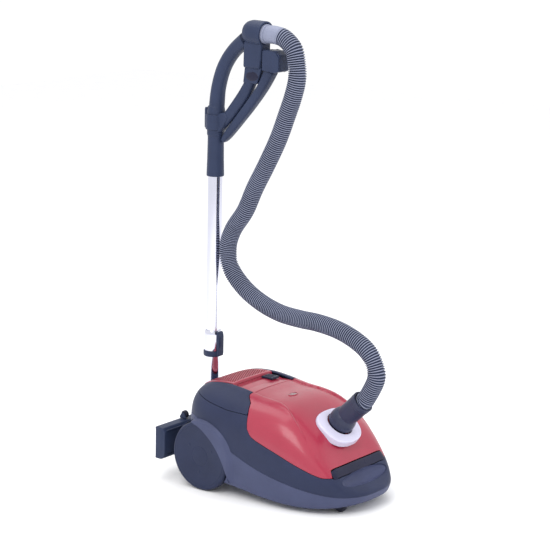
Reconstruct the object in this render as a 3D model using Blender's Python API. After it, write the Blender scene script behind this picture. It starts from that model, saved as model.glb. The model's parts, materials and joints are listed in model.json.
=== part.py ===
"""Canister vacuum cleaner: wheeled body, hose, telescopic wand and floor head.

Metres, +Z up. The floor is Z = 0 and the nose of the canister points along -Y.
Lengths along the body are given as the distance ahead of the rear axle.
"""
import math

import bmesh
import bpy
import numpy as np
from mathutils import Vector

# Frame
AXLE_Y = 0.1159          # the rear axle, with the object's box centred on Y = 0
GAP = 0.0003             # running gap between neighbouring pieces

# Case: outline in plan and section
HALF_WIDTH = 0.1377
MID_AHEAD, NOSE_AHEAD, TAIL_AHEAD = 0.110, 0.367, -0.068
NOSE_POWER, TAIL_POWER = 2.67, 4.4
DOME_POWER, DOME_ROOT = 2.98, 4.42
WALL = 0.0026
RIM_KNOTS = [(-0.07, 0.098), (0.0, 0.100), (0.05, 0.097), (0.10, 0.089), (0.15, 0.078),
             (0.20, 0.065), (0.25, 0.053), (0.30, 0.044), (0.37, 0.039)]
DOME_KNOTS = [(-0.07, 0.160), (-0.03, 0.136), (0.02, 0.1270), (0.11, 0.1269), (0.20, 0.1372),
              (0.28, 0.1036), (0.367, 0.0162)]
FLOOR_KNOTS = [(-0.07, 0.050), (-0.02, 0.040), (0.06, 0.027), (0.11, 0.022), (0.163, 0.016),
               (0.237, 0.011), (0.30, 0.013), (0.367, 0.022)]
PARTING_KNOTS = [(-0.08, 0.138), (-0.045, 0.139), (-0.019, 0.137), (0.01, 0.129), (0.035, 0.113),
                 (0.06, 0.098), (0.096, 0.088), (0.137, 0.080), (0.213, 0.061), (0.28, 0.048),
                 (0.327, 0.041), (0.375, 0.038)]
LID_EDGE_KNOTS = [(0.125, 0.158), (0.137, 0.144), (0.169, 0.131), (0.201, 0.120),
                  (0.263, 0.095), (0.300, 0.081), (0.312, 0.080)]
SEAM = [(0.090, 0.300), (0.090, 0.214), (0.108, 0.203), (0.118, 0.185)]
SHOULDER = 0.066         # half width of the flat deck between the shoulder creases
PEDAL_FOOT = [(0.1166, 0.184), (0.067, 0.186), (0.011, 0.194), (-0.0440, 0.2035)]

# Wheels and casters
WHEEL_RADIUS, WHEEL_INNER, WHEEL_OUTER = 0.075, 0.1150, 0.1420
ARCH_RADIUS, ARCH_INNER = 0.0785, 0.1120
CASTER_X, CASTER_AHEAD, CASTER_TRAIL = 0.060, 0.3075, 0.0090
ROLLER_RADIUS = 0.0115

# Inlet, on the sloping front of the lid
INLET_AHEAD, INLET_Z, INLET_TILT = 0.2600, 0.1560, math.radians(37)

# Wand
WAND_AHEAD, WAND_LEAN = -0.0887, math.radians(1.6)
UPPER_RADIUS, LOWER_RADIUS = 0.0156, 0.0143


def smooth_through(knots, at):
    """Cubic through hand-set knots, with the slope at each taken from its neighbours."""
    for i in range(len(knots) - 1):
        if at <= knots[i + 1][0] or i == len(knots) - 2:
            break
    (a0, v0), (a1, v1) = knots[i], knots[i + 1]

    def slope(j):
        lo, hi = max(j - 1, 0), min(j + 1, len(knots) - 1)
        return (knots[hi][1] - knots[lo][1]) / (knots[hi][0] - knots[lo][0])

    span = a1 - a0
    t = min(max((at - a0) / span, 0.0), 1.0)
    m0, m1 = slope(i) * span, slope(i + 1) * span
    return ((2 * t**3 - 3 * t**2 + 1) * v0 + (t**3 - 2 * t**2 + t) * m0
            + (3 * t**2 - 2 * t**3) * v1 + (t**3 - t**2) * m1)


def place(x, ahead, z):
    return Vector((x, AXLE_Y - ahead, z))


def outline_point(angle, rho, inset):
    """Point of the plan outline, scaled by rho about its middle and moved in by inset."""
    c, s = math.cos(angle), math.sin(angle)
    power = NOSE_POWER if s > 0 else TAIL_POWER
    length = (NOSE_AHEAD - MID_AHEAD if s > 0 else MID_AHEAD - TAIL_AHEAD) - inset
    k = (abs(c) ** power + abs(s) ** power) ** (-1 / power)
    return (HALF_WIDTH - inset) * k * c * rho, MID_AHEAD + length * k * s * rho


def case_height(x, ahead):
    """Top surface of the case above a point of its plan."""
    nose = ahead > MID_AHEAD
    power = NOSE_POWER if nose else TAIL_POWER
    length = NOSE_AHEAD - MID_AHEAD if nose else MID_AHEAD - TAIL_AHEAD
    rho = (abs(x / HALF_WIDTH) ** power + abs((ahead - MID_AHEAD) / length) ** power) ** (1 / power)
    rise = (1 - min(rho, 1.0) ** DOME_POWER) ** (1 / DOME_ROOT)
    return smooth_through(RIM_KNOTS, ahead) + smooth_through(DOME_KNOTS, ahead) * rise


# ---------------------------------------------------------------- objects and materials
LOOKS = {
    "red_plastic": ((0.42, 0.035, 0.06), 0.22, 0.0),
    "case_plastic": ((0.035, 0.042, 0.075), 0.40, 0.0),
    "shell_plastic": ((0.075, 0.085, 0.145), 0.42, 0.0),
    "dark_plastic": ((0.045, 0.055, 0.095), 0.38, 0.0),
    "black_plastic": ((0.018, 0.018, 0.035), 0.28, 0.0),
    "silver_plastic": ((0.72, 0.71, 0.80), 0.30, 0.1),
    "chrome": ((0.80, 0.82, 0.88), 0.08, 1.0),
    "steel": ((0.55, 0.55, 0.57), 0.30, 1.0),
    "hose_plastic": ((0.13, 0.15, 0.23), 0.42, 0.0),
    "rubber": ((0.03, 0.03, 0.045), 0.70, 0.0),
    "paper": ((0.70, 0.62, 0.48), 0.90, 0.0),
    "filter_foam": ((0.60, 0.62, 0.66), 0.95, 0.0),
    "clear_plastic": ((0.55, 0.50, 0.55), 0.10, 0.0),
    "bristle": ((0.10, 0.10, 0.12), 0.85, 0.0),
}


def look(name):
    found = bpy.data.materials.get(name)
    if found:
        return found
    colour, roughness, metallic = LOOKS[name]
    made = bpy.data.materials.new(name)
    made.use_nodes = True
    shader = made.node_tree.nodes["Principled BSDF"]
    shader.inputs["Base Color"].default_value = (*colour, 1.0)
    shader.inputs["Roughness"].default_value = roughness
    shader.inputs["Metallic"].default_value = metallic
    return made


def solid(name, points, faces, finish=None, parent=None, origin=(0, 0, 0), sharp=35):
    """An object from points and faces; without a finish it is a cutter."""
    mesh = bpy.data.meshes.new(name)
    start = Vector(origin)
    mesh.from_pydata([Vector(p) - start for p in points], [], faces)
    shape = bmesh.new()
    shape.from_mesh(mesh)
    bmesh.ops.recalc_face_normals(shape, faces=shape.faces)
    shape.to_mesh(mesh)
    shape.free()
    made = bpy.data.objects.new(name, mesh)
    made.location = start
    bpy.context.collection.objects.link(made)
    if finish:
        mesh.materials.append(look(finish))
        mesh.shade_smooth()
        mesh.set_sharp_from_angle(angle=math.radians(sharp))
    else:
        made.hide_render = True
        made.display_type = "WIRE"
    if parent:
        made.parent = parent
    return made


def pivot(name, at, turn=(0, 0, 0), parent=None):
    """An empty on a joint's axis."""
    made = bpy.data.objects.new(name, None)
    made.location = at
    made.rotation_euler = turn
    bpy.context.collection.objects.link(made)
    if parent:
        made.parent = parent
    return made


def combine(body, other, operation="DIFFERENCE"):
    modifier = body.modifiers.new(other.name, "BOOLEAN")
    modifier.operation = operation
    modifier.object = other
    modifier.solver = "EXACT"
    return body


def cut(body, *cutters):
    for cutter in cutters:
        combine(body, cutter)
    return body


def join(body, *others):
    for other in others:
        combine(body, other, "UNION")
    return body


def skin(rings, closed=False):
    """Faces over a list of equal rings: capped at both ends, or closed into a loop."""
    points = [p for ring in rings for p in ring]
    n, count = len(rings[0]), len(rings)
    faces = []
    for i in range(count if closed else count - 1):
        a, b = i * n, (i + 1) % count * n
        faces += [(a + j, a + (j + 1) % n, b + (j + 1) % n, b + j) for j in range(n)]
    if not closed:
        faces += [tuple(reversed(range(n))), tuple(range((count - 1) * n, count * n))]
    return points, faces


def slab(name, low, high, **kw):
    """A box from two corners, each (x, ahead, z)."""
    (x0, a0, z0), (x1, a1, z1) = low, high
    rings = [[place(x0, a1, z), place(x1, a1, z), place(x1, a0, z), place(x0, a0, z)]
             for z in (z0, z1)]
    return solid(name, *skin(rings), **kw)


def side_prism(name, outline, x0, x1, **kw):
    """A prism across the body from an anticlockwise outline of (ahead, z)."""
    rings = [[place(x, a, z) for a, z in outline] for x in (x1, x0)]
    return solid(name, *skin(rings), **kw)


def turned(name, profile, base, axis, steps=32, turn=(0, 0, 0), **kw):
    """A solid turned about an axis from (radius, height) pairs, up the outside.

    A profile that ends on the axis is capped there; any other is closed into a ring.
    """
    direction = Vector(axis).normalized()
    side = direction.orthogonal().normalized()
    other = direction.cross(side)
    ends_on_axis = profile[0][0] == 0 and profile[-1][0] == 0
    rows = profile[1:-1] if ends_on_axis else profile
    rings = []
    for radius, height in rows:
        rings.append([Vector(base) + direction * height
                      + radius * (side * math.cos(t) + other * math.sin(t))
                      for t in (2 * math.pi * j / steps for j in range(steps))])
    points, faces = skin(rings, closed=not ends_on_axis)
    return solid(name, points, faces, **kw)


def rod(name, radius, base, axis, length, steps=24, **kw):
    profile = [(0, 0), (radius, 0), (radius, length), (0, length)]
    return turned(name, profile, base, axis, steps, **kw)


def ellipsoid(name, centre, radii, steps=28, rows=12, **kw):
    rings = []
    for i in range(rows + 1):
        lift = -math.pi / 2 + math.pi * (0.04 + 0.92 * i / rows)
        rings.append([Vector(centre) + Vector((radii[0] * math.cos(lift) * math.cos(t),
                                               radii[1] * math.cos(lift) * math.sin(t),
                                               radii[2] * math.sin(lift)))
                      for t in (2 * math.pi * j / steps for j in range(steps))])
    return solid(name, *skin(rings), **kw)


def swept(name, stations, steps=16, squareness=2.0, **kw):
    """A bar swept in the plane X = 0 through (forward, height, half_x, half_across) stations.

    Its points are in the frame of its parent, where forward is -Y.
    """
    centres = [Vector((0, -s[0], s[1])) for s in stations]
    rings = []
    for i, (_, _, half_x, half_across) in enumerate(stations):
        run = (centres[min(i + 1, len(centres) - 1)] - centres[max(i - 1, 0)]).normalized()
        across = run.cross(Vector((1, 0, 0)))
        ring = []
        for j in range(steps):
            t = 2 * math.pi * j / steps
            c, s = math.cos(t), math.sin(t)
            k = (abs(c) ** squareness + abs(s) ** squareness) ** (-1 / squareness)
            ring.append(centres[i] + Vector((1, 0, 0)) * (half_x * k * c) - across * (half_across * k * s))
        rings.append(ring)
    return solid(name, *skin(rings), **kw)


# ---------------------------------------------------------------- case skin
SEGMENTS = 40


def case_skin(name, inset, finish=None):
    """The closed outer form of the case, moved inward by inset."""
    rings = []
    angles = [2 * math.pi * (j + 0.5) / SEGMENTS for j in range(SEGMENTS)]
    for rho, lift in ((0.60, 0.0), (0.93, 0.0), (0.968, 0.003)):
        ring = []
        for angle in angles:
            x, ahead = outline_point(angle, rho, inset)
            ring.append(place(x, ahead, smooth_through(FLOOR_KNOTS, ahead) + lift + inset))
        rings.append(ring)
    for rho in (0.988, 1.0):
        ring = []
        for angle in angles:
            x, ahead = outline_point(angle, rho, inset)
            low, rim = smooth_through(FLOOR_KNOTS, ahead), smooth_through(RIM_KNOTS, ahead)
            height = 0.45 if rho < 1 else 1.0
            ring.append(place(x, ahead, low + (rim - low) * height))
        rings.append(ring)
    for rho in (0.999, 0.993, 0.975, 0.945, 0.90, 0.83, 0.72, 0.56, 0.38, 0.18):
        ring = []
        for angle in angles:
            x, ahead = outline_point(angle, rho, inset)
            rise = (1 - rho ** DOME_POWER) ** (1 / DOME_ROOT)
            dome = smooth_through(DOME_KNOTS, ahead) - inset
            ring.append(place(x, ahead, smooth_through(RIM_KNOTS, ahead) + dome * rise))
        rings.append(ring)
    return solid(name, *skin(rings), finish=finish, sharp=50)


def above(name, knots, ends, x0, x1, top=0.30, steps=16):
    """Everything above an edge curve, between two distances ahead of the axle."""
    low = [(a, smooth_through(knots, a)) for a in
           (ends[0] + (ends[1] - ends[0]) * i / steps for i in range(steps + 1))]
    return side_prism(name, [(ends[0], top)] + low + [(ends[1], top)], x0, x1)


def inlet_point(x, up_slope, out):
    """A point from the inlet's centre: across, up the slope of the lid, and out of it."""
    centre = place(x, INLET_AHEAD, INLET_Z)
    normal = Vector((0, -math.sin(INLET_TILT), math.cos(INLET_TILT)))
    slope = Vector((0, math.cos(INLET_TILT), math.sin(INLET_TILT)))
    return centre + slope * up_slope + normal * out


INLET_NORMAL = inlet_point(0, 0, 1) - inlet_point(0, 0, 0)


def clear_scene():
    for old in list(bpy.data.objects):
        bpy.data.objects.remove(old, do_unlink=True)


def build_case():
    """Lower case, upper case, rear deck and the fixed pieces on them."""
    cavity = case_skin("cutter_cavity", WALL)
    pockets = []
    for side, mark in ((-1, "right"), (1, "left")):
        hub = place(side * ARCH_INNER, 0, WHEEL_RADIUS)
        outward = (side, 0, 0)
        liner = rod(f"cutter_arch_liner_{mark}", ARCH_RADIUS + WALL, hub - Vector((side * WALL, 0, 0)),
                    outward, 0.08, 40)
        fork_seat = rod(f"cutter_caster_liner_{mark}", 0.0255, place(side * CASTER_X, CASTER_AHEAD, -0.02),
                        (0, 0, 1), 0.0598, 24)
        cut(cavity, liner, fork_seat)
        pockets.append(rod(f"cutter_arch_{mark}", ARCH_RADIUS, hub, outward, 0.08, 40))
        pockets.append(rod(f"cutter_caster_pocket_{mark}", 0.0228,
                           place(side * CASTER_X, CASTER_AHEAD, -0.02), (0, 0, 1), 0.0572, 24))
        pockets.append(rod(f"cutter_stem_hole_{mark}", 0.0044,
                           place(side * CASTER_X, CASTER_AHEAD, 0.03), (0, 0, 1), 0.03, 16))
        pockets.append(rod(f"cutter_axle_hole_{mark}", 0.0064,
                           place(side * 0.10, 0, WHEEL_RADIUS), outward, 0.03, 20))
    scoop_at = place(0, 0.341, 0.0905)
    scoop = ellipsoid("cutter_finger_recess", scoop_at, (0.072, 0.022, 0.022))
    cut(cavity, ellipsoid("cutter_recess_liner", scoop_at, (0.0748, 0.0248, 0.0248)))

    upper_zone = above("zone_upper", [(a, z + GAP / 2) for a, z in PARTING_KNOTS], (-0.09, 0.39),
                       -0.2, 0.2, steps=30)
    lower_zone = above("zone_upper_and_gap", [(a, z - GAP / 2) for a, z in PARTING_KNOTS],
                       (-0.09, 0.39), -0.2, 0.2, steps=30)
    lid_edge = [(a, smooth_through(LID_EDGE_KNOTS, a)) for a in
                (0.125 + (0.312 - 0.125) * i / 9 for i in range(10))]
    lid_zone = side_prism("zone_lid", SEAM + lid_edge + [(0.3125, 0.300)], -0.2, 0.2)
    cut(lid_zone, slab("cutter_latch_bay", (-0.0905, 0.3035, 0.05), (0.0905, 0.33, 0.32)))
    deck_zone = side_prism("zone_deck", [(-0.050, 0.300), (-0.050, 0.150), (0.0897, 0.150),
                                         (0.0897, 0.300)], -SHOULDER, SHOULDER)

    lower = cut(case_skin("lower_case", 0, "shell_plastic"), lower_zone, cavity, *pockets)
    outlet_hole = rod("cutter_cord_outlet", 0.0093, place(-0.055, -0.055, 0.078), (0, 1, 0), 0.04, 20)
    cut(lower, outlet_hole)

    upper = case_skin("upper_case", 0, "case_plastic")
    combine(upper, upper_zone, "INTERSECT")
    cut(upper, cavity, *[p for p in pockets if "arch" in p.name], scoop)
    lid_opening = side_prism("cutter_lid_opening",
                             [(a - GAP, z) for a, z in SEAM] + [(a, z - GAP) for a, z in lid_edge]
                             + [(0.3190, 0.084), (0.3190, 0.300)], -0.2, 0.2)
    cut(upper, lid_opening)
    deck_opening = slab("cutter_deck_opening", (-SHOULDER - GAP, -0.050 - GAP, 0.15),
                        (SHOULDER + GAP, 0.12, 0.30))
    cut(upper, deck_opening)

    deck = case_skin("rear_deck", 0, "red_plastic")
    combine(deck, deck_zone, "INTERSECT")
    cut(deck, cavity)
    for i in range(9):
        x = -0.048 + 0.012 * i
        cut(deck, slab(f"cutter_louvre_{i}", (x - 0.0017, -0.044, 0.18), (x + 0.0017, 0.022, 0.26)))
    cut(deck, slab("cutter_slider_slot", (-0.046, 0.043, 0.18), (0.056, 0.0475, 0.26)))
    return cavity, lid_zone, pockets


def build_pedals(cavity):
    """Power pedal on the right flank and cord pedal on the left, hinged at their rear ends."""
    foot = [(a, z + GAP) for a, z in PEDAL_FOOT]
    for side, mark in ((-1, "power_pedal"), (1, "cord_pedal")):
        outline = [(-0.0440, 0.30)] + foot[::-1] + [
            (0.1160, 0.1865), (0.1060, 0.2035), (0.0885, 0.2140), (0.0885, 0.30)]
        zone = side_prism(f"zone_{mark}", outline,
                          min(side * (SHOULDER + 2 * GAP), side * 0.2),
                          max(side * (SHOULDER + 2 * GAP), side * 0.2))
        piece = case_skin(mark, 0, "case_plastic")
        combine(piece, zone, "INTERSECT")
        cut(piece, cavity)
        grown = [(-0.0446, 0.32), (-0.0446, 0.2034)] + [(a, z - 5 * GAP) for a, z in foot[::-1]] + [
            (0.1200, 0.1830), (0.1200, 0.2060), (0.0920, 0.2170), (0.0920, 0.32)]
        opening = side_prism(f"cutter_{mark}_opening", grown,
                             min(side * SHOULDER, side * 0.2), max(side * SHOULDER, side * 0.2))
        cut(bpy.data.objects["upper_case"], opening)


def build_lid(cavity, lid_zone):
    """Dust-compartment lid with its trim ring, window and seal, and the latch bar."""
    lid = case_skin("lid", 0, "red_plastic")
    combine(lid, lid_zone, "INTERSECT")
    cut(lid, cavity)
    hole = rod("cutter_inlet", 0.0262, inlet_point(0, 0, -0.05), INLET_NORMAL, 0.1, 28)
    window_at = place(-0.012, 0.152, 0)
    window_hole = rod("cutter_window", 0.0072, window_at + Vector((0, 0, 0.15)), (0, 0, 1), 0.1, 20)
    cut(lid, hole, window_hole)

    ring_points = []
    steps = 36
    for reach, out in ((1.0, 0.0052), (1.0, 0.0105), (0.93, 0.0125), (0.62, 0.0125), (0.60, 0.0052)):
        ring = []
        for j in range(steps):
            t = 2 * math.pi * j / steps
            c, s = math.cos(t), math.sin(t)
            k = (abs(c) ** 2.6 + abs(s) ** 2.6) ** (-1 / 2.6)
            taper = 1.0 + 0.10 * s
            if reach > 0.7:
                ring.append(inlet_point(0.047 * reach * k * c * taper, 0.040 * reach * k * s, out))
            else:
                ring.append(inlet_point(0.0268 * c, 0.0268 * s, out))
        ring_points.append(ring)
    solid("trim_ring", *skin(ring_points, closed=True), finish="silver_plastic")
    rod("dust_indicator", 0.0069, window_at + Vector((0, 0, case_height(-0.012, 0.152) - 0.0022)),
        (0, 0, 1), 0.0014, 20, finish="clear_plastic")

    latch = case_skin("latch_bar", -0.0006, "black_plastic")
    combine(latch, slab("zone_latch", (-0.0895, 0.3042, 0.0845), (0.0895, 0.3180, 0.16)), "INTERSECT")
    cut(latch, case_skin("cutter_latch_back", 0.0058))


def build_wheels():
    for side, mark in ((-1, "right"), (1, "left")):
        hub = place(side * WHEEL_INNER, 0, WHEEL_RADIUS)
        outward = (side, 0, 0)
        width = WHEEL_OUTER - WHEEL_INNER
        face = [(0.0600, width - 0.0025), (0.0690, width), (0.0730, width - 0.0015),
                (WHEEL_RADIUS, width - 0.005), (WHEEL_RADIUS, 0.003), (0.0730, 0.0),
                (0.0640, 0.0), (0.0620, 0.015), (0.0160, 0.015), (0.0140, 0.0)]
        wheel = turned(f"rear_wheel_{mark}",
                       [(0, 0.0)] + list(reversed(face)) + [(0, width - 0.0025)],
                       hub, outward, 36, finish="dark_plastic",
                       origin=place(side * WHEEL_INNER, 0, WHEEL_RADIUS))
        cut(wheel, rod(f"cutter_wheel_bore_{mark}", 0.0066, hub - Vector((side * 0.02, 0, 0)),
                       outward, width + 0.011, 20))
        turned(f"wheel_axle_{mark}",
               [(0, -0.0088), (0.0100, -0.0088), (0.0100, -0.0062), (0.0060, -0.0062),
                (0.0060, 0.0165), (0, 0.0165)], hub, outward, 20, finish="steel")

        stem = place(side * CASTER_X, CASTER_AHEAD, 0)
        fork = turned(f"caster_fork_{mark}",
                      [(0, 0.0090), (0.0165, 0.0090), (0.0205, 0.0160), (0.0205, 0.0330),
                       (0.0190, 0.0350), (0.0040, 0.0350), (0.0040, 0.0460), (0, 0.0460)],
                      stem, (0, 0, 1), 28, finish="black_plastic", origin=stem)
        axle = place(side * CASTER_X, CASTER_AHEAD + CASTER_TRAIL, ROLLER_RADIUS)
        slot = slab(f"cutter_fork_slot_{mark}",
                    (side * CASTER_X - 0.0078, CASTER_AHEAD - 0.0060, -0.01),
                    (side * CASTER_X + 0.0078, CASTER_AHEAD + 0.03, 0.0265))
        bore = rod(f"cutter_fork_bore_{mark}", 0.0024, axle - Vector((0.012, 0, 0)), (1, 0, 0), 0.024, 12)
        cut(fork, slot, bore)
        turned(f"caster_roller_{mark}",
               [(0, -0.0115), (0.0020, -0.0115), (0.0020, -0.0070), (0.0105, -0.0070),
                (ROLLER_RADIUS, -0.0058), (ROLLER_RADIUS, 0.0058), (0.0105, 0.0070),
                (0.0020, 0.0070), (0.0020, 0.0115), (0, 0.0115)],
               axle, (1, 0, 0), 24, finish="rubber", origin=axle)


def build_inside():
    """Dust bag, filters, motor, cord reel and the small fixed fittings."""
    ellipsoid("dust_bag", place(0, 0.178, 0.080), (0.108, 0.078, 0.052), 24, 10, finish="paper")
    turned("bag_collar", [(0.0200, -0.0240), (0.0400, -0.0240), (0.0400, -0.0215), (0.0200, -0.0215)],
           inlet_point(0, 0, 0), INLET_NORMAL, 28, finish="paper")
    slab("motor_filter", (-0.060, 0.0850, 0.050), (0.060, 0.0920, 0.160), finish="filter_foam")
    grid = slab("filter_frame", (-0.070, 0.0800, 0.042), (0.070, 0.0846, 0.172), finish="dark_plastic")
    for i in range(4):
        for j in range(3):
            low = (-0.058 + 0.030 * i, 0.07, 0.055 + 0.035 * j)
            cut(grid, slab(f"cutter_frame_{i}_{j}", low, (low[0] + 0.026, 0.10, low[2] + 0.030)))
    front = place(0.048, 0.0700, 0.108)
    turned("motor_housing", [(0.0435, 0.0), (0.0460, 0.0), (0.0460, 0.1120), (0.0120, 0.1120),
                             (0.0120, 0.1095), (0.0435, 0.1095)],
           front, (0, 1, 0), 32, finish="dark_plastic")
    turned("motor_stator", [(0.0055, 0.0400), (0.0400, 0.0400), (0.0400, 0.0950), (0.0055, 0.0950)],
           front, (0, 1, 0), 28, finish="steel")
    turned("fan_rotor", [(0, 0.0050), (0.0120, 0.0050), (0.0400, 0.0240), (0.0400, 0.0340),
                         (0.0050, 0.0340), (0.0050, 0.1000), (0, 0.1000)],
           front, (0, 1, 0), 28, finish="steel", origin=front)
    turned("motor_mount", [(0.0464, 0.0060), (0.0500, 0.0060), (0.0500, 0.0140), (0.0464, 0.0140)],
           front, (0, 1, 0), 32, finish="rubber")
    reel = place(-0.0850, 0.0100, 0.1120)
    turned("cord_reel", [(0.0064, 0.0), (0.0620, 0.0), (0.0620, 0.0020), (0.0260, 0.0020),
                         (0.0260, 0.0560), (0.0620, 0.0560), (0.0620, 0.0580), (0.0064, 0.0580)],
           reel, (1, 0, 0), 36, finish="dark_plastic", origin=reel)
    rod("reel_post", 0.0060, reel - Vector((0.006, 0, 0)), (1, 0, 0), 0.070, 20, finish="steel")
    slab("exhaust_filter", (-0.056, -0.046, 0.1960), (0.056, 0.026, 0.2020), finish="filter_foam")
    slab("control_board", (-0.040, 0.034, 0.1900), (0.050, 0.062, 0.1916), finish="case_plastic")
    turned("cord_outlet", [(0.0050, -0.0020), (0.0125, -0.0020), (0.0125, -0.0003), (0.0090, -0.0003),
                           (0.0090, 0.0060), (0.0050, 0.0060)],
           place(-0.055, TAIL_AHEAD, 0.078), (0, -1, 0), 20, finish="rubber")
    bracket = slab("parking_bracket", (-0.020, -0.0732, 0.1120), (0.020, TAIL_AHEAD - GAP, 0.1360),
                   finish="case_plastic")
    cut(bracket, slab("cutter_parking_slot", (-0.0054, -0.08, 0.1160), (0.0054, -0.0702, 0.15)))


def build_slider():
    """Suction-power slider in its slot across the deck."""
    top = case_height(0, 0.045) + 0.0005
    slider = slab("suction_slider", (0.028, 0.036, top), (0.050, 0.056, top + 0.0050),
                  finish="black_plastic")
    join(slider, slab("slider_neck", (0.032, 0.0434, top - 0.008), (0.044, 0.0471, top + 0.002)))


def build_inlet_elbow():
    """Hose elbow that turns in the lid's inlet."""
    bend = inlet_point(0, 0, 0.0270)
    cuff_axis = Vector((0, -math.cos(math.radians(43)), math.sin(math.radians(43))))
    elbow = turned("inlet_elbow", [(0, -0.0200), (0.0222, -0.0200), (0.0222, 0.0120),
                                   (0.0255, 0.0140), (0.0262, 0.0220), (0.0240, 0.0360),
                                   (0.0160, 0.0470), (0, 0.0500)],
                   inlet_point(0, 0, 0), INLET_NORMAL, 32, finish="black_plastic",
                   origin=inlet_point(0, 0, 0))
    cuff = rod("elbow_cuff_form", 0.0235, bend, cuff_axis, 0.0690, 32)
    join(elbow, cuff)
    cut(elbow, rod("cutter_elbow_neck", 0.0190, inlet_point(0, 0, -0.03), INLET_NORMAL, 0.060, 28),
        rod("cutter_elbow_cuff", 0.0198, bend, cuff_axis, 0.09, 28))
    return bend + cuff_axis * 0.0690, cuff_axis


def build_wand():
    """Wand pieces, modelled upright in the frame of the wand's own axis."""
    axis = pivot("wand_axis", place(0, WAND_AHEAD, 0), (WAND_LEAN, 0, 0))
    up = (0, 0, 1)

    def on_axis(name, profile, finish, steps=32):
        return turned(name, profile, (0, 0, 0), up, steps, finish=finish, parent=axis)

    on_axis("upper_tube", [(0.0150, 0.3000), (UPPER_RADIUS, 0.3000), (UPPER_RADIUS, 0.6900),
                           (0.0150, 0.6900)], "chrome")
    on_axis("lower_tube", [(0.0133, 0.1550), (LOWER_RADIUS, 0.1550), (LOWER_RADIUS, 0.6000),
                           (0.0133, 0.6000)], "chrome")
    on_axis("slide_sleeve", [(0.0160, 0.2680), (0.0185, 0.2680), (0.0188, 0.2740), (0.0188, 0.3080),
                             (0.0170, 0.3140), (0.0160, 0.3140)], "chrome")
    collar = on_axis("slide_collar", [(0.0148, 0.2560), (0.0206, 0.2560), (0.0206, 0.2672),
                                      (0.0148, 0.2672)], "dark_plastic")
    grip = solid("collar_housing", *skin([
        [Vector((x, -f, z)) for x, f in ((-0.0085, 0.0192), (0.0085, 0.0192), (0.0075, 0.0240),
                                         (-0.0075, 0.0240))][::-1]
        for z in (0.2565, 0.3100)]), parent=axis)
    join(collar, grip)
    cut(collar, solid("cutter_button", *skin([
        [Vector((x, -f, z)) for x, f in ((-0.0056, 0.0216), (0.0056, 0.0216), (0.0056, 0.03),
                                         (-0.0056, 0.03))][::-1]
        for z in (0.2760, 0.3020)]), parent=axis))
    solid("release_button", *skin([
        [Vector((x, -f, z)) for x, f in ((-0.0052, 0.0228), (0.0052, 0.0228), (0.0048, 0.0258),
                                         (-0.0048, 0.0258))][::-1]
        for z in (0.2766, 0.3014)]), finish="case_plastic", parent=axis)
    build_handle(axis)
    build_head(axis)
    return axis


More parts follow.
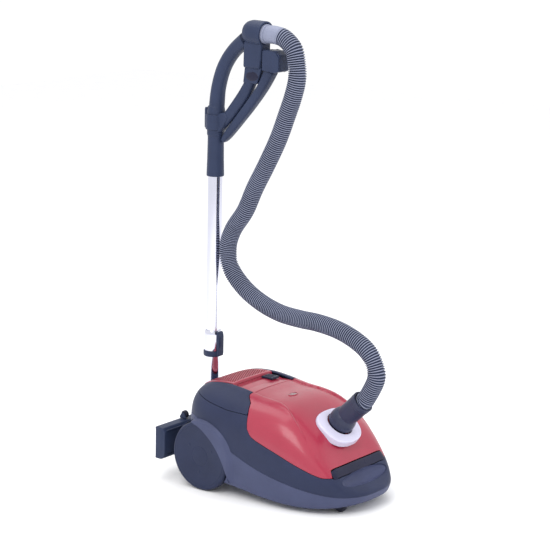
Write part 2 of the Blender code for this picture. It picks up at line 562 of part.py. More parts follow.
def build_handle(axis):
    """Loop handle with the hose socket at its top and the stowed brush on its brace."""
    ferrule = turned("handle", [(0, 0.6550), (0.0190, 0.6550), (0.0180, 0.6900), (0.0172, 0.7400),
                                (0.0190, 0.7460), (0.0195, 0.7900), (0.0165, 0.8100), (0, 0.8140)],
                     (0, 0, 0), (0, 0, 1), 28, finish="dark_plastic", parent=axis)
    bow = swept("handle_bow", [(0.000, 0.780, 0.0150, 0.0160), (0.002, 0.812, 0.0150, 0.0160),
                               (0.006, 0.845, 0.0150, 0.0150), (0.0165, 0.880, 0.0150, 0.0150),
                               (0.0320, 0.908, 0.0150, 0.0150), (0.0530, 0.932, 0.0155, 0.0150),
                               (0.0780, 0.950, 0.0180, 0.0165)],
                parent=axis)
    brace = swept("handle_brace", [(0.0060, 0.7550, 0.0110, 0.0100), (0.0340, 0.7850, 0.0110, 0.0090),
                                   (0.0580, 0.8150, 0.0110, 0.0090), (0.0790, 0.8430, 0.0110, 0.0090),
                                   (0.0950, 0.8700, 0.0120, 0.0095), (0.1020, 0.8980, 0.0140, 0.0110),
                                   (0.1040, 0.9520, 0.0160, 0.0150)],
                  parent=axis)
    socket_at = Vector((0, -0.0820, 0.9690))
    socket_axis = Vector((0, -1, -0.02)).normalized()
    socket = turned("hose_socket", [(0, 0.0), (0.0200, 0.0), (0.0240, 0.0060), (0.0262, 0.0260),
                                    (0.0262, 0.0500), (0, 0.0500)],
                    socket_at, socket_axis, 28, parent=axis)
    join(ferrule, bow, brace, socket)
    cut(ferrule,
        rod("cutter_ferrule_bore", UPPER_RADIUS + GAP, (0, 0, 0.64), (0, 0, 1), 0.0510, 28, parent=axis),
        rod("cutter_hose_socket", 0.0215, socket_at + socket_axis * 0.0200, socket_axis, 0.08, 28,
            parent=axis))
    turned("hose_cuff", [(0.0150, 0.0210), (0.0211, 0.0210), (0.0211, 0.0500), (0.0204, 0.0550),
                         (0.0150, 0.0550)], socket_at, socket_axis, 28, finish="hose_plastic", parent=axis)
    clip = turned("tool_clip", [(0.0200, 0.7560), (0.0225, 0.7560), (0.0225, 0.7880), (0.0200, 0.7880)],
                  (0, 0, 0), (0, 0, 1), 28, finish="dark_plastic", parent=axis)
    join(clip, solid("clip_tab", *skin([
        [Vector((x, y, z)) for x, y in ((-0.007, 0.0210), (0.007, 0.0210), (0.007, 0.0262),
                                        (-0.007, 0.0262))]
        for z in (0.7600, 0.8000)]), parent=axis))
    cut(clip, solid("cutter_clip_front", *skin([
        [Vector((x, y, z)) for x, y in ((-0.0130, -0.040), (0.0130, -0.040), (0.0130, -0.006),
                                        (-0.0130, -0.006))]
        for z in (0.74, 0.80)]), parent=axis))

    tool = swept("brush_tool", [(0.0200, 0.7300, 0.0080, 0.0030), (0.0330, 0.7450, 0.0100, 0.0070),
                                (0.0640, 0.7830, 0.0110, 0.0080), (0.0990, 0.8240, 0.0120, 0.0085),
                                (0.1280, 0.8620, 0.0130, 0.0095), (0.1500, 0.8990, 0.0140, 0.0130)],
                 finish="dark_plastic", parent=axis, squareness=3.0)
    block = solid("brush_head", *skin([
        [Vector((x, -f, z)) for x, f in ((-0.0155, 0.1365), (0.0155, 0.1365), (0.0155, 0.1800),
                                         (-0.0155, 0.1800))]
        for z in (0.8950, 0.9350)]), parent=axis)
    join(tool, block)
    cut(tool, solid("cutter_brush_window", *skin([
        [Vector((x, -f, z)) for x, f in ((-0.02, 0.1480), (0.02, 0.1480), (0.02, 0.1720),
                                         (-0.02, 0.1720))]
        for z in (0.9020, 0.9250)]), parent=axis))
    solid("brush_bristles", *skin([
        [Vector((x, -f, z)) for x, f in ((-0.0120, 0.1483), (0.0120, 0.1483), (0.0120, 0.1717),
                                         (-0.0120, 0.1717))]
        for z in (0.9023, 0.9200)]), finish="bristle", parent=axis)


def build_head(axis):
    """Floor head parked upright: sole to the rear, neck upward."""
    neck = turned("head_neck", [(0, 0.1020), (0.0100, 0.1020), (0.0100, 0.1400), (0.0163, 0.1520),
                                (0.0163, 0.1850), (0, 0.1850)],
                  (0, 0, 0), (0, 0, 1), 28, finish="dark_plastic", parent=axis)
    barrel = rod("neck_barrel", 0.0112, (-0.0190, 0, 0.1030), (1, 0, 0), 0.0380, 24, parent=axis)
    rib = solid("parking_rib", *skin([
        [Vector((x, -f, z)) for x, f in ((-0.0050, 0.0060), (0.0050, 0.0060), (0.0050, 0.0144),
                                         (-0.0050, 0.0144))][::-1]
        for z in (0.1190, 0.1420)]), parent=axis)
    join(neck, barrel, rib)
    cut(neck, rod("cutter_neck_socket", LOWER_RADIUS + GAP, (0, 0, 0.1540), (0, 0, 1), 0.06, 28,
                  parent=axis),
        rod("cutter_neck_pin", 0.0044, (-0.03, 0, 0.1030), (1, 0, 0), 0.06, 16, parent=axis))

    rear, front, low, high = 0.0420, 0.0145, 0.0460, 0.1180
    outline = [(front + 0.004, low + 0.004), (front, low + 0.016), (front, high - 0.010),
               (front + 0.006, high), (rear, high), (rear, low), (front + 0.012, low)]
    rings = [[Vector((x, y, z)) for y, z in outline] for x in (0.1320, -0.1320)]
    head = solid("head_body", *skin(rings), finish="dark_plastic", parent=axis)
    cut(head, solid("cutter_head_sole", *skin([
        [Vector((x, y, z)) for x, y in ((-0.1285, rear - 0.016), (0.1285, rear - 0.016),
                                        (0.1285, rear + 0.01), (-0.1285, rear + 0.01))]
        for z in (low + 0.0035, high - 0.0035)]), parent=axis))
    for side in (-1, 1):
        ear = solid(f"head_ear_{side}", *skin([
            [Vector((x, y, z)) for x, y in ((side * 0.0215 - 0.0020, -0.0070),
                                            (side * 0.0215 + 0.0020, -0.0070),
                                            (side * 0.0215 + 0.0020, 0.0165),
                                            (side * 0.0215 - 0.0020, 0.0165))]
            for z in (0.0950, 0.1110)]), parent=axis)
        join(head, ear)
    bore = rod("cutter_ear_bore", 0.0044, (-0.03, 0, 0.1030), (1, 0, 0), 0.06, 16, parent=axis)
    barrel_room = rod("cutter_barrel_room", 0.0136, (-0.0194, 0, 0.1030), (1, 0, 0), 0.0388, 28,
                      parent=axis)
    cut(head, bore, barrel_room)
    rod("head_pin", 0.0040, (-0.0238, 0, 0.1030), (1, 0, 0), 0.0476, 16, finish="steel", parent=axis)
    plate = solid("sole_plate", *skin([
        [Vector((x, y, z)) for x, y in ((-0.1280, rear - 0.0030), (0.1280, rear - 0.0030),
                                        (0.1280, rear - 0.0003), (-0.1280, rear - 0.0003))]
        for z in (low + 0.0040, high - 0.0040)]), finish="steel", parent=axis)
    cut(plate, solid("cutter_sole_mouth", *skin([
        [Vector((x, y, z)) for x, y in ((-0.100, 0.0), (0.100, 0.0), (0.100, 0.1), (-0.100, 0.1))]
        for z in (0.0720, 0.0860)]), parent=axis))
    for mark, z in (("front", low + 0.0090), ("rear", high - 0.0120)):
        solid(f"head_bristles_{mark}", *skin([
            [Vector((x, y, zz)) for x, y in ((-0.1150, rear), (0.1150, rear),
                                             (0.1150, rear + 0.0060), (-0.1150, rear + 0.0060))]
            for zz in (z - 0.0015, z + 0.0015)]), finish="bristle", parent=axis)
    for side, mark in ((-1, "right"), (1, "left")):
        at = (side * 0.0520, 0.0330, high + 0.0090)
        rod(f"head_roller_{mark}", 0.0085, (at[0] - 0.0045, at[1], at[2]), (1, 0, 0), 0.0090, 20,
            finish="rubber", parent=axis)
    solid("head_rocker", *skin([
        [Vector((x, y, z)) for x, y in ((-0.0250, 0.0085), (0.0250, 0.0085), (0.0250, 0.0139),
                                        (-0.0250, 0.0139))]
        for z in (0.0600, 0.0800)]), finish="case_plastic", parent=axis)


HOSE_ROUTE = [(0.0757, 0.9637), (0.0960, 0.9634), (0.1198, 0.9569), (0.1432, 0.9359), (0.1511, 0.9059),
              (0.1512, 0.8753), (0.1409, 0.8396), (0.1253, 0.8013), (0.1016, 0.7472), (0.0695, 0.6894),
              (0.0396, 0.6396), (0.0130, 0.5880), (-0.0216, 0.5419), (-0.0359, 0.5007),
              (-0.0278, 0.4578), (0.0073, 0.4209), (0.0540, 0.3947), (0.1071, 0.3787),
              (0.1608, 0.3739), (0.2084, 0.3728), (0.2604, 0.3659), (0.3041, 0.3516),
              (0.3373, 0.3316), (0.3553, 0.3051), (0.3582, 0.2759), (0.3480, 0.2510)]


def smooth_route(stations, spacing):
    """Evenly spaced points of the curve through the stations."""
    dense = []
    padded = [stations[0] * 2 - stations[1]] + stations + [stations[-1] * 2 - stations[-2]]
    for i in range(1, len(padded) - 2):
        p0, p1, p2, p3 = padded[i - 1:i + 3]
        for t in np.linspace(0, 1, 24, endpoint=False):
            dense.append(0.5 * ((2 * p1) + (p2 - p0) * t + (2 * p0 - 5 * p1 + 4 * p2 - p3) * t**2
                                + (3 * p1 - p0 - 3 * p2 + p3) * t**3))
    dense.append(stations[-1])
    lengths = np.cumsum([0] + [(b - a).length for a, b in zip(dense[:-1], dense[1:])])
    count = max(2, round(lengths[-1] / spacing) + 1)
    picked = []
    for want in np.linspace(0, lengths[-1], count):
        i = min(int(np.searchsorted(lengths, want)), len(dense) - 1)
        picked.append(dense[i])
    return picked


def build_hose(cuff_end, cuff_axis):
    """Corrugated hose as a plain tube, from the handle's socket to the elbow's cuff."""
    radius = 0.0190
    stations = [place(0, a, z) for a, z in HOSE_ROUTE]
    stations[-1:] = [cuff_end + cuff_axis * 0.012, cuff_end + cuff_axis * GAP]
    points = smooth_route(stations, 0.024)
    curve = bpy.data.curves.new("hose", "CURVE")
    curve.dimensions = "3D"
    curve.bevel_depth = radius
    curve.bevel_resolution = 3
    curve.use_fill_caps = True
    curve.render_resolution_u = 0
    spline = curve.splines.new("POLY")
    spline.points.add(len(points) - 1)
    for point, at in zip(spline.points, points):
        point.co = (*at, 1.0)
    curve.materials.append(look("hose_plastic"))
    bpy.context.collection.objects.link(bpy.data.objects.new("hose", curve))


clear_scene()
case_cavity, lid_region, case_pockets = build_case()
build_pedals(case_cavity)
build_lid(case_cavity, lid_region)
build_wheels()
build_inside()
build_slider()
end_of_cuff, axis_of_cuff = build_inlet_elbow()
build_wand()
build_hose(end_of_cuff, axis_of_cuff)
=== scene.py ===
"""Looks of the canister vacuum cleaner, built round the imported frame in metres."""

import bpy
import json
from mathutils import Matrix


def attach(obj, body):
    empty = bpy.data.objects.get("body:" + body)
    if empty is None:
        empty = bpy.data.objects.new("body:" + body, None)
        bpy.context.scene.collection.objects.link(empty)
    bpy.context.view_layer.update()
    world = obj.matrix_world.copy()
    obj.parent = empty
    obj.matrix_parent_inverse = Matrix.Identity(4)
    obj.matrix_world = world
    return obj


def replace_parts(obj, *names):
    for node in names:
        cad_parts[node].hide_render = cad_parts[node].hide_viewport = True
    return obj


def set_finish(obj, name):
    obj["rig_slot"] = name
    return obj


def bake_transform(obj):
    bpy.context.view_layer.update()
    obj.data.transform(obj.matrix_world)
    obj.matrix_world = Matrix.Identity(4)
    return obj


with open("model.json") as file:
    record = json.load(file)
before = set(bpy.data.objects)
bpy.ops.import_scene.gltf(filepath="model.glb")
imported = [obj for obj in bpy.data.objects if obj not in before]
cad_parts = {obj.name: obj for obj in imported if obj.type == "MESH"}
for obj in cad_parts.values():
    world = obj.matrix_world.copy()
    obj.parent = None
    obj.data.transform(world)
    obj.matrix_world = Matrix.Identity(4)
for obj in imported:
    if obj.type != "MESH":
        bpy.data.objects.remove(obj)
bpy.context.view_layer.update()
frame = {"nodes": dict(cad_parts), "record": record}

import json
import math

import bmesh
import bpy
import numpy as np
from mathutils import Matrix, Vector

AXLE_Y = 0.1159

# ---------------------------------------------------------------- camera, light and floor
CAMERA_AT = (-2.9471, -2.4546 + AXLE_Y, 1.2963)
CAMERA_TURN = (77.5, 0.0, -51.3)
CAMERA_LENS = 119.9

scene = bpy.context.scene
scene.view_settings.view_transform = "Standard"
camera_data = bpy.data.cameras.new("camera")
camera_data.lens, camera_data.sensor_width = CAMERA_LENS, 36.0
camera_data.clip_end = 50.0
camera = bpy.data.objects.new("camera", camera_data)
camera.location = CAMERA_AT
camera.rotation_euler = [math.radians(v) for v in CAMERA_TURN]
scene.collection.objects.link(camera)
scene.camera = camera


def area_light(name, at, target, size, power, colour=(1, 1, 1)):
    data = bpy.data.lights.new(name, "AREA")
    data.shape = "RECTANGLE"
    data.size, data.size_y = size
    data.energy = power
    data.color = colour
    lamp = bpy.data.objects.new(name, data)
    lamp.location = at
    lamp.rotation_euler = (Vector(target) - Vector(at)).to_track_quat("-Z", "Y").to_euler()
    scene.collection.objects.link(lamp)
    return lamp


area_light("key", (-2.2, -0.6, 2.6), (0, 0, 0.3), (1.6, 1.6), 34, (1.0, 0.99, 0.97))
area_light("fill", (0.4, -3.0, 1.5), (0, 0, 0.3), (1.6, 2.0), 22, (0.94, 0.96, 1.0))
area_light("top", (0.3, 0.6, 3.0), (0, 0, 0.3), (2.2, 2.2), 28)
world = bpy.data.worlds.new("studio")
scene.world = world
world.use_nodes = True
world.node_tree.nodes["Background"].inputs["Color"].default_value = (1, 1, 1, 1)
world.node_tree.nodes["Background"].inputs["Strength"].default_value = 1.04

# ---------------------------------------------------------------- materials


def node(tree, kind, **values):
    made = tree.nodes.new(kind)
    for key, value in values.items():
        if key in made.inputs:
            made.inputs[key].default_value = value
        else:
            setattr(made, key, value)
    return made


def noise(tree, where, scale, detail=3.0, roughness=0.5):
    made = node(tree, "ShaderNodeTexNoise", Scale=scale, Detail=detail, Roughness=roughness)
    tree.links.new(where.outputs["Object"], made.inputs["Vector"])
    return made


def spread(tree, source, low, high):
    """Maps the middle of a noise to a range of values."""
    made = node(tree, "ShaderNodeMapRange")
    for key, value in (("From Min", 0.30), ("From Max", 0.70), ("To Min", low), ("To Max", high)):
        made.inputs[key].default_value = value
    tree.links.new(source, made.inputs["Value"])
    return made.outputs["Result"]


def finish_of(name, colour, roughness, grain=900.0, depth=0.05, shade=0.10, cloud=14.0, metallic=0.0,
        coat=0.0, coat_roughness=0.05, sheen=0.0, spread_of_roughness=0.05, weave=None,
        specular=0.2):
    """A procedural finish: clouded colour, uneven gloss, and a fine moulded or woven grain."""
    made = bpy.data.materials.new(name)
    made.use_nodes = True
    tree = made.node_tree
    shader = tree.nodes["Principled BSDF"]
    where = node(tree, "ShaderNodeTexCoord")
    for key, value in (("Metallic", metallic), ("Coat Weight", coat),
            ("Coat Roughness", coat_roughness), ("Sheen Weight", sheen),
            ("Specular IOR Level", specular)):
        shader.inputs[key].default_value = value
    large = noise(tree, where, cloud, 4.0, 0.6)
    mix = node(tree, "ShaderNodeMix", data_type="RGBA")
    tree.links.new(spread(tree, large.outputs["Fac"], 0.0, 1.0), mix.inputs["Factor"])
    mix.inputs["A"].default_value = (*[v * (1 - shade) for v in colour], 1)
    mix.inputs["B"].default_value = (*[min(1.0, v * (1 + shade)) for v in colour], 1)
    tree.links.new(mix.outputs["Result"], shader.inputs["Base Color"])
    smudge = noise(tree, where, cloud * 4.3, 5.0, 0.65)
    tree.links.new(spread(tree, smudge.outputs["Fac"], max(0.02, roughness - spread_of_roughness),
                roughness + spread_of_roughness), shader.inputs["Roughness"])
    if weave:
        fine = node(tree, "ShaderNodeTexVoronoi", Scale=weave)
        tree.links.new(where.outputs["Object"], fine.inputs["Vector"])
        height = fine.outputs["Distance"]
    else:
        height = noise(tree, where, grain, 3.0, 0.6).outputs["Fac"]
    bump = node(tree, "ShaderNodeBump", Strength=depth, Distance=0.001)
    tree.links.new(height, bump.inputs["Height"])
    tree.links.new(bump.outputs["Normal"], shader.inputs["Normal"])
    return made


FINISHES = {
    "red_plastic": dict(colour=(0.335, 0.022, 0.052), roughness=0.34, grain=60, depth=0.006,
            shade=0.04, coat=0.50, coat_roughness=0.16, specular=0.35),
    "case_plastic": dict(colour=(0.022, 0.029, 0.068), roughness=0.42, weave=1500, depth=0.16),
    "shell_plastic": dict(colour=(0.060, 0.070, 0.138), roughness=0.48, weave=1300, depth=0.20),
    "wheel_plastic": dict(colour=(0.020, 0.027, 0.064), roughness=0.46, weave=1400, depth=0.16),
    "dark_plastic": dict(colour=(0.026, 0.037, 0.080), roughness=0.42, weave=1500, depth=0.16),
    "black_plastic": dict(colour=(0.016, 0.017, 0.040), roughness=0.30, grain=500, depth=0.03),
    "elbow_plastic": dict(colour=(0.026, 0.031, 0.068), roughness=0.36, weave=1500, depth=0.08,
            specular=0.35),
    "silver_plastic": dict(colour=(0.62, 0.60, 0.76), roughness=0.30, grain=700, depth=0.03,
            shade=0.03, coat=0.3),
    "chrome": dict(colour=(0.72, 0.73, 0.84), roughness=0.12, metallic=1.0, grain=420, depth=0.012,
            shade=0.03, spread_of_roughness=0.035, specular=0.5),
    "steel": dict(colour=(0.55, 0.55, 0.58), roughness=0.32, metallic=1.0, grain=600, depth=0.10),
    "hose_plastic": dict(colour=(0.230, 0.250, 0.345), roughness=0.42, grain=700, depth=0.05,
            shade=0.08),
    # painted shade: a darker copy of the hose plastic for the faces down in its grooves
    "hose_groove_shade": dict(colour=(0.035, 0.045, 0.085), roughness=0.60, grain=700, depth=0.05,
            shade=0.08),
    "rubber": dict(colour=(0.020, 0.021, 0.035), roughness=0.70, weave=900, depth=0.30),
    "paper": dict(colour=(0.66, 0.58, 0.44), roughness=0.90, grain=380, depth=0.35),
    "filter_foam": dict(colour=(0.55, 0.57, 0.62), roughness=0.95, weave=700, depth=0.60),
    "clear_plastic": dict(colour=(0.13, 0.015, 0.028), roughness=0.12, grain=300, depth=0.02, coat=1.0,
            specular=0.5),
    "bristle": dict(colour=(0.085, 0.085, 0.105), roughness=0.75, grain=1200, depth=0.20, shade=0.25),
    "floor": dict(colour=(0.95, 0.95, 0.96), roughness=0.85, grain=120, depth=0.01, shade=0.01),
    "card": dict(colour=(0.012, 0.012, 0.020), roughness=0.90, grain=120, depth=0.01),
}
finishes = {name: finish_of(name, **values) for name, values in FINISHES.items()}
slots = {row["node"]: row["material_slot"] for row in frame["record"]["subparts"]}
for name, thing in frame["nodes"].items():
    thing.data.materials.clear()
    thing.data.materials.append(finishes[slots[name]])

# ---------------------------------------------------------------- mesh helpers


def place(x, ahead, z):
    return Vector((x, AXLE_Y - ahead, z))


def smooth_through(knots, at):
    """Cubic through listed knots, for one value or an array of them."""
    at = np.asarray(at, float)
    a = np.array([k[0] for k in knots])
    v = np.array([k[1] for k in knots])
    slope = np.empty(len(a))
    slope[1:-1] = (v[2:] - v[:-2]) / (a[2:] - a[:-2])
    slope[0], slope[-1] = (v[1] - v[0]) / (a[1] - a[0]), (v[-1] - v[-2]) / (a[-1] - a[-2])
    i = np.clip(np.searchsorted(a, at) - 1, 0, len(a) - 2)
    span = a[i + 1] - a[i]
    t = np.clip((at - a[i]) / span, 0, 1)
    return ((2 * t**3 - 3 * t**2 + 1) * v[i] + (t**3 - 2 * t**2 + t) * slope[i] * span
            + (3 * t**2 - 2 * t**3) * v[i + 1] + (t**3 - t**2) * slope[i + 1] * span)


def piece(name, points, faces, finish, slot=None, sharp=40, recalc=True):
    mesh = bpy.data.meshes.new(name)
    mesh.from_pydata([tuple(p) for p in points], [], faces)
    if recalc:
        shape = bmesh.new()
        shape.from_mesh(mesh)
        bmesh.ops.remove_doubles(shape, verts=shape.verts, dist=1e-7)
        bmesh.ops.recalc_face_normals(shape, faces=shape.faces)
        shape.to_mesh(mesh)
        shape.free()
    mesh.shade_smooth()
    mesh.set_sharp_from_angle(angle=math.radians(sharp))
    mesh.materials.append(finishes[finish])
    made = bpy.data.objects.new(name, mesh)
    scene.collection.objects.link(made)
    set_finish(made, slot or finish)
    return made


def grid_faces(rows, columns, close_rows=False, close_columns=True, base=0):
    faces = []
    for i in range(rows if close_rows else rows - 1):
        a, b = base + i * columns, base + (i + 1) % rows * columns
        for j in range(columns if close_columns else columns - 1):
            k = (j + 1) % columns
            faces.append((a + j, a + k, b + k, b + j))
    return faces


def loft(name, rings, finish, caps=True, closed=False, **kw):
    columns = len(rings[0])
    faces = grid_faces(len(rings), columns, close_rows=closed)
    if caps and not closed:
        last = (len(rings) - 1) * columns
        faces += [tuple(reversed(range(columns))), tuple(range(last, last + columns))]
    return piece(name, [p for ring in rings for p in ring], faces, finish, **kw)


def rounded(profile, radius, steps=4, closed=False):
    """A profile with each corner turned into an arc."""
    points = [Vector(p) for p in profile]
    made = []
    count = len(points)
    for i, here in enumerate(points):
        if not closed and i in (0, count - 1):
            made.append(tuple(here))
            continue
        before, after = points[i - 1] - here, points[(i + 1) % count] - here
        reach = min(radius, before.length * 0.45, after.length * 0.45)
        if reach < 1e-6 or before.angle(after) > math.radians(172):
            made.append(tuple(here))
            continue
        start, end = here + before.normalized() * reach, here + after.normalized() * reach
        for j in range(steps + 1):
            t = j / steps
            made.append(tuple(start * (1 - t) ** 2 + here * 2 * t * (1 - t) + end * t**2))
    return made


def lathe(name, profile, base, axis, finish, steps=96, soft=0.0006, ring=False, **kw):
    """A solid turned from (radius, height) pairs, each corner slightly rounded."""
    profile = rounded(profile, soft, closed=ring)
    direction = Vector(axis).normalized()
    side = direction.orthogonal().normalized()
    other = direction.cross(side)
    rings = [[Vector(base) + direction * height + max(radius, 1e-5)
              * (side * math.cos(t) + other * math.sin(t))
              for t in (2 * math.pi * j / steps for j in range(steps))] for radius, height in profile]
    return loft(name, rings, finish, caps=not ring, closed=ring, **kw)


def softened(made, width, steps=3, angle=30):
    """Rounds the edges of a piece for good."""
    bevel = made.modifiers.new("edges", "BEVEL")
    bevel.width, bevel.segments, bevel.angle_limit = width, steps, math.radians(angle)
    bevel.harden_normals = False
    return baked(made)


def baked(made):
    graph = bpy.context.evaluated_depsgraph_get()
    mesh = bpy.data.meshes.new_from_object(made.evaluated_get(graph))
    made.modifiers.clear()
    made.data = mesh
    return made


def prism(name, outline, x0, x1, finish, width=0.0008, to_world=place, **kw):
    """A prism across the body from an outline of (ahead, z)."""
    rings = [[to_world(x, a, z) for a, z in outline] for x in (x0, x1)]
    return softened(loft(name, rings, finish, **kw), width)


def carve(body, cutter):
    """Cuts one closed piece out of another for good."""
    modifier = body.modifiers.new("carve", "BOOLEAN")
    modifier.operation, modifier.object, modifier.solver = "DIFFERENCE", cutter, "EXACT"
    bpy.context.view_layer.update()
    baked(body)
    bpy.data.objects.remove(cutter, do_unlink=True)
    body.data.set_sharp_from_angle(angle=math.radians(35))
    return body


def spline_points(stations, count):
    """Evenly spaced points of the smooth curve through stations of any width."""
    s = np.array(stations, float)
    padded = np.vstack([2 * s[0] - s[1], s, 2 * s[-1] - s[-2]])
    dense = []
    for i in range(1, len(padded) - 2):
        p0, p1, p2, p3 = padded[i - 1:i + 3]
        for t in np.linspace(0, 1, 40, endpoint=False):
            dense.append(0.5 * (2 * p1 + (p2 - p0) * t + (2 * p0 - 5 * p1 + 4 * p2 - p3) * t**2
                        + (3 * p1 - p0 - 3 * p2 + p3) * t**3))
    dense = np.array(dense + [s[-1]])
    length = np.r_[0, np.cumsum(np.linalg.norm(np.diff(dense[:, :2], axis=0), axis=1))]
    at = np.linspace(0, length[-1], count)
    return np.column_stack([np.interp(at, length, dense[:, k]) for k in range(s.shape[1])])


# ---------------------------------------------------------------- case surface
HALF_WIDTH = 0.1377
MID_AHEAD, NOSE_AHEAD, TAIL_AHEAD = 0.110, 0.367, -0.068
NOSE_POWER, TAIL_POWER = 2.67, 4.4
DOME_POWER, DOME_ROOT = 2.98, 4.42
RIM_KNOTS = [(-0.07, 0.098), (0.0, 0.100), (0.05, 0.097), (0.10, 0.089), (0.15, 0.078),
        (0.20, 0.065), (0.25, 0.053), (0.30, 0.044), (0.37, 0.039)]
DOME_KNOTS = [(-0.07, 0.160), (-0.03, 0.136), (0.02, 0.1270), (0.11, 0.1269), (0.20, 0.1372),
        (0.28, 0.1036), (0.367, 0.0162)]
FLOOR_KNOTS = [(-0.07, 0.050), (-0.02, 0.040), (0.06, 0.027), (0.11, 0.022), (0.163, 0.016),
        (0.237, 0.011), (0.30, 0.013), (0.367, 0.022)]
PARTING_KNOTS = [(-0.08, 0.160), (-0.045, 0.160), (-0.0224, 0.157), (0.0, 0.147), (0.031, 0.1265),
        (0.055, 0.113), (0.0755, 0.1035), (0.10, 0.0945), (0.143, 0.079), (0.194, 0.0655),
        (0.25, 0.0535), (0.28, 0.048), (0.327, 0.041), (0.375, 0.038)]
LID_EDGE_KNOTS = [(0.125, 0.158), (0.137, 0.144), (0.169, 0.131), (0.201, 0.120),
        (0.263, 0.095), (0.300, 0.081), (0.312, 0.080)]
SEAM_Z = (0.158, 0.185, 0.203, 0.214)
SEAM_A = (0.125, 0.118, 0.108, 0.090)
FOOT_A = (-0.0440, 0.011, 0.067, 0.1166)
FOOT_Z = (0.2035, 0.194, 0.186, 0.184)
SHOULDER = 0.066
CREASE_KNOTS = [(-0.06, 0.066), (0.09, 0.066), (0.163, 0.068), (0.181, 0.072), (0.198, 0.079),
        (0.212, 0.085), (0.26, 0.100), (0.30, 0.110)]
CREASE_RISE, CREASE_WIDTH, CREASE_DECAY = 0.0046, 0.0012, 0.034
NOSE_DROP, NOSE_HALF = 0.0150, 0.084
LID_FRONT, LATCH_BACK, LATCH_HALF = 0.3185, 0.3095, 0.0905


def relief(x, ahead):
    """Height of the raised shoulders outside the crease, less the dip across the nose."""
    ahead = np.asarray(ahead, float)
    beyond = np.maximum(np.abs(x) - smooth_through(CREASE_KNOTS, ahead), 0)
    fade = np.clip((0.275 - ahead) / 0.065, 0, 1) * np.clip((ahead + 0.062) / 0.03, 0, 1)
    shoulder = CREASE_RISE * fade * (1 - np.exp(-beyond / CREASE_WIDTH)) * np.exp(-(beyond / CREASE_DECAY)**2)
    start = np.clip((ahead - 0.262) / 0.036, 0, 1)
    dip = start**2 * (3 - 2 * start) * np.clip((0.372 - ahead) / 0.030, 0, 1)
    return shoulder - NOSE_DROP * dip * np.exp(-(np.asarray(x) / NOSE_HALF)**4)


def case_height(x, ahead):
    """Top surface of the case above a point of its plan."""
    x, ahead = np.broadcast_arrays(np.asarray(x, float), np.asarray(ahead, float))
    nose = ahead > MID_AHEAD
    power = np.where(nose, NOSE_POWER, TAIL_POWER)
    length = np.where(nose, NOSE_AHEAD - MID_AHEAD, MID_AHEAD - TAIL_AHEAD)
    rho = (np.abs(x / HALF_WIDTH) ** power + np.abs((ahead - MID_AHEAD) / length) ** power) ** (1 / power)
    rise = (1 - np.minimum(rho, 1.0) ** DOME_POWER) ** (1 / DOME_ROOT)
    return (smooth_through(RIM_KNOTS, ahead) + smooth_through(DOME_KNOTS, ahead) * rise
            + relief(x, ahead))


def case_half_width(ahead, z):
    """Half width of the case at a place of its side."""
    low, rim = float(smooth_through(FLOOR_KNOTS, ahead)), float(smooth_through(RIM_KNOTS, ahead))
    if z >= rim:
        rise = min(1.0, (z - rim) / float(smooth_through(DOME_KNOTS, ahead)))
        rho = (1 - rise**DOME_ROOT) ** (1 / DOME_POWER)
    else:
        heights, shares = zip(*sorted((h, r) for r, h in WALL_PROFILE[:8]))
        rho = float(np.interp((z - low) / (rim - low), heights, shares))
    power, length = ((NOSE_POWER, NOSE_AHEAD - MID_AHEAD) if ahead > MID_AHEAD
            else (TAIL_POWER, MID_AHEAD - TAIL_AHEAD))
    return HALF_WIDTH * max(0.0, rho**power - (abs(ahead - MID_AHEAD) / length) ** power) ** (1 / power)


ANGLES, SAMPLES = 640, 520
WALL_PROFILE = [(1.0, 1.0), (0.997, 0.80), (0.993, 0.62), (0.988, 0.45), (0.981, 0.25), (0.974, 0.10),
        (0.966, 0.02), (0.955, 0.0), (0.93, 0.0), (0.80, 0.0), (0.40, 0.0), (0.02, 0.0)]


